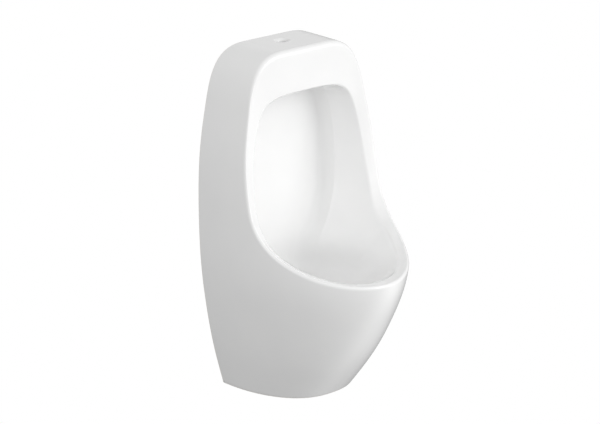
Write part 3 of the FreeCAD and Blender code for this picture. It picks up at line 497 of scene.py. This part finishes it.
# Rows round the lower and back edges
across_edge = skin_inside[0] - skin_grid[0]
across_edge /= np.linalg.norm(across_edge, axis=-1, keepdims=True)
outer_corner = rounding(
    skin_grid[0] + across_edge * EDGE_ROUND, skin_grid[0],
    along_row(skin_grid[0], skin_grid[2], EDGE_ROUND), EDGE_ROUND_ROWS)
inner_corner = rounding(
    along_row(skin_inside[0], skin_inside[1], EDGE_ROUND), skin_inside[0],
    skin_inside[0] - across_edge * EDGE_ROUND, EDGE_ROUND_ROWS)

# Rows through the outlet hole: recess for the flange, hole for its tail, and the boss below
DRAIN_DEPTH = 92.0
RECESS, TAIL_HOLE, DRAIN_BOSS = 33.0, 23.0, 42.0          # radii
RECESS_BOTTOM, DRAIN_BOTTOM, DRAIN_BOSS_TOP = 173.0, 161.0, 170.0
# radius and height, round the recess's edge, down, under the boss and up its side
DRAIN_PROFILE = [
    (RECESS + 0.8, SEAT - 0.3), (RECESS + 0.2, SEAT - 0.9), (RECESS, SEAT - 2.0), (RECESS, RECESS_BOTTOM),
    (TAIL_HOLE, RECESS_BOTTOM), (TAIL_HOLE, DRAIN_BOTTOM), (DRAIN_BOSS - 1.0, DRAIN_BOTTOM),
    (DRAIN_BOSS, DRAIN_BOTTOM + 1.0), (DRAIN_BOSS, DRAIN_BOSS_TOP),
]
outward = np.stack([np.sin(floor_angle), np.cos(floor_angle), np.zeros(COLUMNS + 1)], axis=-1)
drain_rows = np.stack([
    outward * radius + (0, -DRAIN_DEPTH, height) for radius, height in DRAIN_PROFILE])

rows = np.concatenate([
    outer_corner, skin_grid[2:], skin_band, outer_rows, face_rows[1:-1], inner_rows, bowl_band, bowl_grid,
    drain_rows, bowl_outside[::-1], skin_inside[:0:-1], inner_corner,
])
rows[:, [0, -1], 0] = 0.0


def grid_mesh(name, grid, closed_rows, closed_columns, capped=False):
    """A mesh from a grid of points in millimetres above the lower edge: one quad between four neighbours,
    and if capped one face across the first row and one across the last. All are turned over if the volume
    they hold, a sum of triple products, comes out negative."""
    count_rows, count_columns = grid.shape[:2]
    row = np.arange(count_rows if closed_rows else count_rows - 1)[:, None]
    column = np.arange(count_columns if closed_columns else count_columns - 1)[None, :]
    next_row, next_column = (row + 1) % count_rows, (column + 1) % count_columns
    quads = np.stack([
        row * count_columns + column, row * count_columns + next_column,
        next_row * count_columns + next_column, next_row * count_columns + column], axis=-1).reshape(-1, 4)
    points = (grid.reshape(-1, 3) + (0, 0, FOOT)) * MM
    a, b, c, d = (points[quads[:, corner]] - points.mean(axis=0) for corner in range(4))
    volume = np.sum(np.cross(a, b) * c) + np.sum(np.cross(a, c) * d)
    first, last = np.arange(count_columns)[::-1], np.arange(count_columns) + (count_rows - 1) * count_columns
    faces = quads.tolist() + ([first.tolist(), last.tolist()] if capped else [])
    if volume < 0:
        faces = [face[::-1] for face in faces]
    mesh = bpy.data.meshes.new(name)
    mesh.from_pydata(points.tolist(), [], faces)
    mesh.polygons.foreach_set("use_smooth", np.ones(len(faces), bool))
    mesh.update()
    return mesh


CORNER_POINTS = 5


def bar_mesh(name, low, high, radius):
    """A bar between two corners: its section in Y and Z is a rounded rectangle, carried along X, and drawn
    in by the same radius at both ends."""
    corner = np.repeat(np.arange(4), CORNER_POINTS)
    turn = np.radians(np.tile(np.linspace(0, 90, CORNER_POINTS), 4) + 90 * corner)
    signs = np.array([(1, 1), (-1, 1), (-1, -1), (1, -1)])[corner]
    middle, half = (np.array(low) + high)[1:] / 2, (np.array(high) - low)[1:] / 2
    section = middle + signs * (half - radius) + radius * np.stack([np.cos(turn), np.sin(turn)], axis=-1)
    ease = np.radians(np.linspace(0, 90, CORNER_POINTS))
    draws = radius * (1 - np.sin(ease))
    steps = radius * (1 - np.cos(ease))
    places = np.concatenate([low[0] + steps, high[0] - steps[::-1]])
    inset = np.concatenate([draws, draws[::-1]])
    grid = section[None] - np.sign(section - middle)[None] * inset[:, None, None]
    across = np.broadcast_to(places[:, None, None], (len(places), len(section), 1))
    return grid_mesh(name, np.concatenate([across, grid], axis=-1), False, True, capped=True)


TURN_STEPS = 72


def turned_mesh(name, profile, centre):
    """A closed profile of radius and height turned about an upright axis."""
    angle = np.linspace(0, 2 * np.pi, TURN_STEPS, endpoint=False)
    around = np.stack([np.cos(angle), np.sin(angle), np.zeros(TURN_STEPS)], axis=-1)
    grid = profile[:, :1, None] * around[None] + profile[:, 1:, None] * (0, 0, 1) + (centre[0], centre[1], 0)
    return grid_mesh(name, grid, True, True)


# Hole for the flush pipe, near the wall: a glazed flare, a bore, and a boss that holds the grommet below
INLET_DEPTH = 43.0
INLET_BORE, INLET_MOUTH, FLARE_DEPTH = 9.5, 17.5, 7.0     # radii, and the flare's depth
FLARE_POINTS = 13
GROMMET_TOP, BOSS_BOTTOM, GROMMET_ROOM = 629.0, 612.0, 16.0
BOSS_RADIUS, BOSS_TOP, BOSS_BEVEL = 26.0, 633.0, 1.5
MOUTH_OVERLAP, MOUTH_SINK = 1.5, 0.3           # the boss goes on into the wall, just under its face
DRILL_BOTTOM, DRILL_TOP, DRILL_CORE = 620.0, 650.0, 0.01
flare = np.radians(np.linspace(0, 90, FLARE_POINTS))
flare_radii = INLET_MOUTH - (INLET_MOUTH - INLET_BORE) * np.sin(flare)
flare_heights = BODY_HEIGHT - FLARE_DEPTH * (1 - np.cos(flare))
boss_profile = np.concatenate([
    [(INLET_MOUTH + MOUTH_OVERLAP, BODY_HEIGHT - MOUTH_SINK)],
    np.stack([flare_radii, flare_heights], axis=-1),
    [(INLET_BORE, GROMMET_TOP), (GROMMET_ROOM, GROMMET_TOP), (GROMMET_ROOM, BOSS_BOTTOM)],
    [(BOSS_RADIUS - BOSS_BEVEL, BOSS_BOTTOM), (BOSS_RADIUS, BOSS_BOTTOM + BOSS_BEVEL)],
    [(BOSS_RADIUS, BOSS_TOP), (INLET_MOUTH + MOUTH_OVERLAP, BOSS_TOP)],
])
drill_profile = np.array([
    (DRILL_CORE, DRILL_BOTTOM), (INLET_MOUTH, DRILL_BOTTOM),
    (INLET_MOUTH, DRILL_TOP), (DRILL_CORE, DRILL_TOP),
])

# Bar across the open back that drops into the wall hooks, its webs to the bowl, and the foot ledges. The
# middle web ends in the bowl's wall, and the side webs go a little deeper, to the bowl's round corners.
RAIL_LOW, RAIL_HIGH, RAIL_BACK, RAIL_WALL, RAIL_REACH = 521.0, 551.0, 3.5, 8.0, 137.0
WEB_INSIDE, WEB_OUTSIDE = 31.0, 89.0           # the hooks go between these, each side
WEB_BACK, MIDDLE_WEB_FRONT, SIDE_WEB_FRONT = RAIL_BACK + 4.0, BOWL_BACK - 4.0, BOWL_BACK + 4.0
LEDGE_LOW, LEDGE_HIGH, LEDGE_BACK, LEDGE_FRONT = 76.0, 86.0, 6.0, 46.5
LEDGE_INSIDE, LEDGE_REACH = 79.0, 132.0
BAR_ROUND = 2.0
bars = [
    ((-RAIL_REACH, -RAIL_BACK - RAIL_WALL, RAIL_LOW), (RAIL_REACH, -RAIL_BACK, RAIL_HIGH)),
    ((-WEB_INSIDE, -MIDDLE_WEB_FRONT, RAIL_LOW), (WEB_INSIDE, -WEB_BACK, RAIL_HIGH)),
]
for side in (-1, 1):
    left, right = sorted((side * WEB_OUTSIDE, side * RAIL_REACH))
    bars.append(((left, -SIDE_WEB_FRONT, RAIL_LOW), (right, -WEB_BACK, RAIL_HIGH)))
    left, right = sorted((side * LEDGE_INSIDE, side * LEDGE_REACH))
    bars.append(((left, -LEDGE_FRONT, LEDGE_LOW), (right, -LEDGE_BACK, LEDGE_HIGH)))

# The shell is drilled for the inlet, then boss and bars join it in one mesh
left_half = rows[:, -2:0:-1] * (-1, 1, 1)
shell_mesh = grid_mesh("shell", np.concatenate([rows, left_half], axis=1), True, True)
shell = bpy.data.objects.new("shell", shell_mesh)
drill = bpy.data.objects.new("drill", turned_mesh("drill", drill_profile, (0, -INLET_DEPTH)))
for thing in (shell, drill):
    bpy.context.scene.collection.objects.link(thing)
cut = shell.modifiers.new("cut", "BOOLEAN")
cut.object = drill
cut.operation = "DIFFERENCE"
cut.solver = "EXACT"
drilled = bpy.data.meshes.new_from_object(shell.evaluated_get(bpy.context.evaluated_depsgraph_get()))
for thing in (shell, drill):
    bpy.data.objects.remove(thing)

cast = bmesh.new()
cast.from_mesh(drilled)
cast.from_mesh(turned_mesh("inlet_boss", boss_profile, (0, -INLET_DEPTH)))
for low, high in bars:
    cast.from_mesh(bar_mesh("bar", low, high, BAR_ROUND))
china_mesh = bpy.data.meshes.new("china")
cast.to_mesh(china_mesh)
cast.free()
SHARP_TURN = 55                                # degrees between two faces where smooth shading stops
china_mesh.polygons.foreach_set("use_smooth", np.ones(len(china_mesh.polygons), bool))
china_mesh.set_sharp_from_angle(angle=np.radians(SHARP_TURN))
china = bpy.data.objects.new("china", china_mesh)
bpy.context.scene.collection.objects.link(china)
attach(china, "urinal")
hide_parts("china_body")


def node_at(tree, kind, **inputs):
    """A shader node of a kind in a tree, with the values of its named sockets set."""
    node = tree.nodes.new("ShaderNode" + kind)
    for socket, value in inputs.items():
        node.inputs[socket.replace("_", " ")].default_value = value
    return node


def mottle_group():
    """Unevenness of a finish. A slow noise mixes two colours, a quicker one moves the roughness between
    two values, and both come out as heights: Swell for the slow one and Grain for a fine one."""
    group = bpy.data.node_groups.new("mottle", "ShaderNodeTree")
    sockets = group.interface
    for socket, kind in (("Light", "Color"), ("Dark", "Color"), ("Smoothest", "Float"), ("Roughest", "Float"),
                         ("Patch", "Float"), ("Speck", "Float")):
        sockets.new_socket(name=socket, in_out="INPUT", socket_type="NodeSocket" + kind)
    for socket, kind in (("Colour", "Color"), ("Roughness", "Float"), ("Swell", "Float"), ("Grain", "Float")):
        sockets.new_socket(name=socket, in_out="OUTPUT", socket_type="NodeSocket" + kind)
    given, made = group.nodes.new("NodeGroupInput"), group.nodes.new("NodeGroupOutput")
    where = group.nodes.new("ShaderNodeTexCoord")
    slow = node_at(group, "TexNoise", Detail=2.0, Roughness=0.5)
    fine = node_at(group, "TexNoise", Detail=3.0, Roughness=0.6)
    contrast = node_at(group, "MapRange", From_Min=0.3, From_Max=0.7)
    colours = group.nodes.new("ShaderNodeMix")
    colours.data_type = "RGBA"
    rough = node_at(group, "MapRange", From_Min=0.3, From_Max=0.7)
    for noise, size in ((slow, "Patch"), (fine, "Speck")):
        group.links.new(where.outputs["Object"], noise.inputs["Vector"])
        group.links.new(given.outputs[size], noise.inputs["Scale"])
    group.links.new(slow.outputs["Fac"], contrast.inputs["Value"])
    group.links.new(contrast.outputs["Result"], colours.inputs["Factor"])
    group.links.new(given.outputs["Light"], colours.inputs["A"])
    group.links.new(given.outputs["Dark"], colours.inputs["B"])
    group.links.new(fine.outputs["Fac"], rough.inputs["Value"])
    group.links.new(given.outputs["Smoothest"], rough.inputs["To Min"])
    group.links.new(given.outputs["Roughest"], rough.inputs["To Max"])
    group.links.new(colours.outputs["Result"], made.inputs["Colour"])
    group.links.new(rough.outputs["Result"], made.inputs["Roughness"])
    group.links.new(slow.outputs["Fac"], made.inputs["Swell"])
    group.links.new(fine.outputs["Fac"], made.inputs["Grain"])
    return group


mottle = mottle_group()


def finish(name, light, dark, roughness, patch, speck, swell, grain, metallic=0.0):
    """A material that drifts between two colours in patches and between two roughnesses in specks, sizes
    in millimetres, over a slow swell and a fine grain, heights in micrometres. Returns the material, its
    tree, its shader and its mottle, which a section may add to."""
    material = bpy.data.materials.new(name)
    material.use_nodes = True
    tree = material.node_tree
    surface = tree.nodes["Principled BSDF"]
    surface.inputs["Metallic"].default_value = metallic
    uneven = tree.nodes.new("ShaderNodeGroup")
    uneven.node_tree = mottle
    uneven.inputs["Light"].default_value = (*light, 1)
    uneven.inputs["Dark"].default_value = (*dark, 1)
    uneven.inputs["Smoothest"].default_value, uneven.inputs["Roughest"].default_value = roughness
    uneven.inputs["Patch"].default_value = 1 / (patch * MM)
    uneven.inputs["Speck"].default_value = 1 / (speck * MM)
    swelling = node_at(tree, "Bump", Strength=1.0, Distance=swell * MM * MM)
    graining = node_at(tree, "Bump", Strength=1.0, Distance=grain * MM * MM)
    tree.links.new(uneven.outputs["Colour"], surface.inputs["Base Color"])
    tree.links.new(uneven.outputs["Roughness"], surface.inputs["Roughness"])
    tree.links.new(uneven.outputs["Swell"], swelling.inputs["Height"])
    tree.links.new(uneven.outputs["Grain"], graining.inputs["Height"])
    tree.links.new(swelling.outputs["Normal"], graining.inputs["Normal"])
    tree.links.new(graining.outputs["Normal"], surface.inputs["Normal"])
    return material, tree, surface, uneven


# Glaze: a clear glassy coat over white china, with the faint swell of a fired glaze. The edges that meet
# the wall and the lower edge are wiped clean before firing, so bare matt china shows there.
glaze, glaze_tree, glaze_surface, glaze_drift = finish(
    "white_glaze", (0.955, 0.955, 0.952), (0.94, 0.941, 0.939), (0.17, 0.22), 60, 5.0, 45, 0.5)
glaze_surface.inputs["IOR"].default_value = 1.5
glaze_surface.inputs["Coat Roughness"].default_value = 0.04
BARE_CHINA, BARE_ROUGHNESS, COAT = (0.80, 0.77, 0.71), 0.8, 0.6
# how far from the wall, and from below, the glaze is wiped, and how far no glaze at all is left
BARE_REACH, BARE_SURELY = 2.2, 1.76
glaze_place = glaze_tree.nodes.new("ShaderNodeTexCoord")
glaze_axes = glaze_tree.nodes.new("ShaderNodeSeparateXYZ")
glaze_tree.links.new(glaze_place.outputs["Object"], glaze_axes.inputs["Vector"])
bare = []
for axis, edge, sign in (("Y", 0.0, -1), ("Z", FOOT, 1)):
    glazed, cleaned = (edge + sign * BARE_REACH) * MM, (edge + sign * BARE_SURELY) * MM
    wiped = node_at(glaze_tree, "MapRange", From_Min=glazed, From_Max=cleaned)
    glaze_tree.links.new(glaze_axes.outputs[axis], wiped.inputs["Value"])
    bare.append(wiped)
either = glaze_tree.nodes.new("ShaderNodeMath")
either.operation = "MAXIMUM"
glaze_tree.links.new(bare[0].outputs["Result"], either.inputs[0])
glaze_tree.links.new(bare[1].outputs["Result"], either.inputs[1])
bare_colour = glaze_tree.nodes.new("ShaderNodeMix")
bare_colour.data_type = "RGBA"
bare_colour.inputs["B"].default_value = (*BARE_CHINA, 1)
glaze_tree.links.new(either.outputs["Value"], bare_colour.inputs["Factor"])
glaze_tree.links.new(glaze_drift.outputs["Colour"], bare_colour.inputs["A"])
glaze_tree.links.new(bare_colour.outputs["Result"], glaze_surface.inputs["Base Color"])
bare_rough = node_at(glaze_tree, "Mix", B=BARE_ROUGHNESS)
glaze_tree.links.new(either.outputs["Value"], bare_rough.inputs["Factor"])
glaze_tree.links.new(glaze_drift.outputs["Roughness"], bare_rough.inputs["A"])
glaze_tree.links.new(bare_rough.outputs["Result"], glaze_surface.inputs["Roughness"])
coat = node_at(glaze_tree, "MapRange", To_Min=COAT, To_Max=0.0)
glaze_tree.links.new(either.outputs["Value"], coat.inputs["Value"])
glaze_tree.links.new(coat.outputs["Result"], glaze_surface.inputs["Coat Weight"])
china.data.materials.append(glaze)

# --- Rubber seals ---------------------------------------------------------------------------------
# The grommet for the flush pipe, the gasket and washers of the outlet and trap, the collar at the wall
# and the foot pads: moulded black rubber with a slight bloom.
rubber = finish("black_rubber", (0.040, 0.040, 0.042), (0.018, 0.018, 0.018), (0.50, 0.72), 9, 0.6, 20, 12)[0]


def dress(material, *names):
    """Gives a material to nodes that keep their own shape."""
    for name in names:
        nodes[name].data.materials.clear()
        nodes[name].data.materials.append(material)


dress(rubber, "inlet_seal", "spreader_washer", "waste_gasket", "waste_washer", "trap_inlet_washer",
      "trap_outlet_washer", "trap_cup_seal", "wall_seal", "foot_pads")

# --- Chromed brass --------------------------------------------------------------------------------
# Inlet tube, spray head, outlet flange and the loose grid in it: turned brass, polished and chromed,
# with dried water spots that dull it a little.
chrome, chrome_tree, chrome_surface, chrome_drift = finish(
    "polished_chrome", (0.84, 0.85, 0.86), (0.74, 0.75, 0.76), (0.05, 0.13), 14, 1.2, 4, 0.5, metallic=1.0)
SPOT_SIZE = 2.6                                # mean distance between two water spots
SPOT_INSIDE, SPOT_OUTSIDE = 0.22, 0.27         # where a spot's edge begins and ends, as shares of that
SPOT_DULLING = 0.22                            # roughness that a spot adds
spot_place = chrome_tree.nodes.new("ShaderNodeTexCoord")
spots = node_at(chrome_tree, "TexVoronoi", Scale=1 / (SPOT_SIZE * MM))
spot_edge = node_at(
    chrome_tree, "MapRange", From_Min=SPOT_INSIDE, From_Max=SPOT_OUTSIDE, To_Min=SPOT_DULLING, To_Max=0.0)
dulled = chrome_tree.nodes.new("ShaderNodeMath")
dulled.operation = "ADD"
chrome_tree.links.new(spot_place.outputs["Object"], spots.inputs["Vector"])
chrome_tree.links.new(spots.outputs["Distance"], spot_edge.inputs["Value"])
chrome_tree.links.new(spot_edge.outputs["Result"], dulled.inputs[0])
chrome_tree.links.new(chrome_drift.outputs["Roughness"], dulled.inputs[1])
chrome_tree.links.new(dulled.outputs["Value"], chrome_surface.inputs["Roughness"])
dress(chrome, "inlet_tube", "spreader", "waste_flange", "strainer")

# --- Brass nuts -----------------------------------------------------------------------------------
# The nut above the bowl's ceiling and the back nut under the outlet: bare brass with the fine rings of
# the lathe, darkened in patches.
brass, brass_tree, brass_surface, _ = finish(
    "turned_brass", (0.76, 0.58, 0.28), (0.52, 0.37, 0.17), (0.24, 0.40), 6, 0.8, 6, 2, metallic=1.0)
RING_PITCH, RING_RELIEF = 0.35, 0.004          # of the lathe's rings
WAVE_BANDS = 3.2                               # bands in one unit of a wave texture of scale 1
ring_place = brass_tree.nodes.new("ShaderNodeTexCoord")
rings = node_at(brass_tree, "TexWave", Scale=1 / (RING_PITCH * MM) / WAVE_BANDS, Distortion=0.4)
rings.bands_direction = "Z"
ring_relief = node_at(brass_tree, "Bump", Strength=0.6, Distance=RING_RELIEF * MM)
brass_tree.links.new(ring_place.outputs["Object"], rings.inputs["Vector"])
brass_tree.links.new(rings.outputs["Fac"], ring_relief.inputs["Height"])
brass_relief = brass_surface.inputs["Normal"].links[0].from_socket
brass_tree.links.new(brass_relief, ring_relief.inputs["Normal"])
brass_tree.links.new(ring_relief.outputs["Normal"], brass_surface.inputs["Normal"])
dress(brass, "spreader_nut", "waste_nut")

# --- Trap -----------------------------------------------------------------------------------------
# Bottle trap and pipe: injection moulded white polypropylene, a little waxy, with the eroded texture
# of its mould and a faint yellowing.
plastic, _, plastic_surface, _ = finish(
    "moulded_plastic", (0.84, 0.84, 0.82), (0.78, 0.77, 0.73), (0.34, 0.46), 35, 0.7, 40, 7)
PLASTIC_GLOW, GLOW_REACH = 0.08, 2.0           # share of the light that goes in, and how far it goes
plastic_surface.inputs["Subsurface Weight"].default_value = PLASTIC_GLOW
plastic_surface.inputs["Subsurface Radius"].default_value = [GLOW_REACH * MM] * 3
dress(plastic, "trap_inlet_nut", "trap_body", "trap_dip_tube", "trap_cup", "trap_cup_ring", "trap_outlet_nut",
      "outlet_pipe")

# --- Wall fixings ---------------------------------------------------------------------------------
# Hooks, foot angles, bolts and nuts: steel, bent or turned and then zinc plated, with the plating's
# small grey crystals.
steel, steel_tree, steel_surface, steel_drift = finish(
    "plated_steel", (0.70, 0.71, 0.73), (0.56, 0.57, 0.60), (0.28, 0.42), 22, 0.9, 10, 2, metallic=1.0)
CRYSTAL_SIZE, DARKEST_CRYSTAL = 5.0, 0.86      # size, and share of the plating's colour
crystal_place = steel_tree.nodes.new("ShaderNodeTexCoord")
crystals = node_at(steel_tree, "TexVoronoi", Scale=1 / (CRYSTAL_SIZE * MM))
crystal_grey = steel_tree.nodes.new("ShaderNodeSeparateColor")
crystal_shade = node_at(steel_tree, "MapRange", To_Min=DARKEST_CRYSTAL, To_Max=1.0)
tinted = steel_tree.nodes.new("ShaderNodeMix")
tinted.data_type = "RGBA"
tinted.blend_type = "MULTIPLY"
tinted.inputs["Factor"].default_value = 1.0
steel_tree.links.new(crystal_place.outputs["Object"], crystals.inputs["Vector"])
steel_tree.links.new(crystals.outputs["Color"], crystal_grey.inputs["Color"])
steel_tree.links.new(crystal_grey.outputs["Red"], crystal_shade.inputs["Value"])
steel_tree.links.new(steel_drift.outputs["Colour"], tinted.inputs["A"])
steel_tree.links.new(crystal_shade.outputs["Result"], tinted.inputs["B"])
steel_tree.links.new(tinted.outputs["Result"], steel_surface.inputs["Base Color"])
dress(steel, "hanger_left", "hanger_right", "foot_angle_left", "foot_angle_right", "foot_bolts", "foot_nuts")

# --- Studio light ---------------------------------------------------------------------------------
# The photograph's ground is blank white. Even light all round, weaker from below, and broad soft lights:
# the main one from the front right, others from the left, from above, low on the right and behind.

# height of a direction on the unit sphere, and even light from there
EVEN_LIGHT = [(-1.0, 0.03), (-0.1, 0.48), (0.15, 0.62), (0.55, 0.58), (1.0, 0.50)]
# turn to the left, rise, spread in degrees and brightness at its middle
SOFT_LIGHTS = [
    (-27, 15, 13, 3.35), (62, 8, 25, 0.52), (5, 48, 32, 0.24), (-60, -35, 20, 1.15), (-139.5, 18, 11, 0.12),
]
world = bpy.data.worlds.new("studio")
world.use_nodes = True
sky = world.node_tree
sky_place = sky.nodes.new("ShaderNodeTexCoord")
sky_axes = sky.nodes.new("ShaderNodeSeparateXYZ")
sky.links.new(sky_place.outputs["Generated"], sky_axes.inputs["Vector"])


def sky_math(operation, first, second=None):
    """One step of arithmetic on sockets or numbers in the sky's nodes."""
    step = sky.nodes.new("ShaderNodeMath")
    step.operation = operation
    for socket, value in zip(step.inputs, (first, second)):
        if isinstance(value, bpy.types.NodeSocket):
            sky.links.new(value, socket)
        elif value is not None:
            socket.default_value = value
    return step.outputs["Value"]


light_sum = EVEN_LIGHT[0][1]
for (low, low_light), (high, high_light) in zip(EVEN_LIGHT, EVEN_LIGHT[1:]):
    # each stretch adds its own change, so the sum passes through every value of the list
    stretch = node_at(sky, "MapRange", From_Min=low, From_Max=high, To_Max=high_light - low_light)
    sky.links.new(sky_axes.outputs["Z"], stretch.inputs["Value"])
    light_sum = sky_math("ADD", light_sum, stretch.outputs["Result"])

for turn, rise, spread, brightness in SOFT_LIGHTS:
    # brightness times e to the power of (cosine of the angle from the light's middle - 1) / spread squared
    facing = sky.nodes.new("ShaderNodeVectorMath")
    facing.operation = "DOT_PRODUCT"
    facing.inputs[1].default_value = look(turn, rise)
    sky.links.new(sky_place.outputs["Generated"], facing.inputs[0])
    falling = sky_math("DIVIDE", sky_math("SUBTRACT", facing.outputs["Value"], 1.0), np.radians(spread) ** 2)
    light_sum = sky_math("ADD", light_sum, sky_math("MULTIPLY", sky_math("EXPONENT", falling), brightness))

# The camera sees plain white behind the object
ray = sky.nodes.new("ShaderNodeLightPath")
strength = node_at(sky, "Mix", B=1.0)
background = sky.nodes["Background"]
background.inputs["Color"].default_value = (1, 1, 1, 1)
sky.links.new(ray.outputs["Is Camera Ray"], strength.inputs["Factor"])
sky.links.new(light_sum, strength.inputs["A"])
sky.links.new(strength.outputs["Result"], background.inputs["Strength"])
bpy.context.scene.world = world

bpy.context.scene.view_settings.view_transform = "Standard"
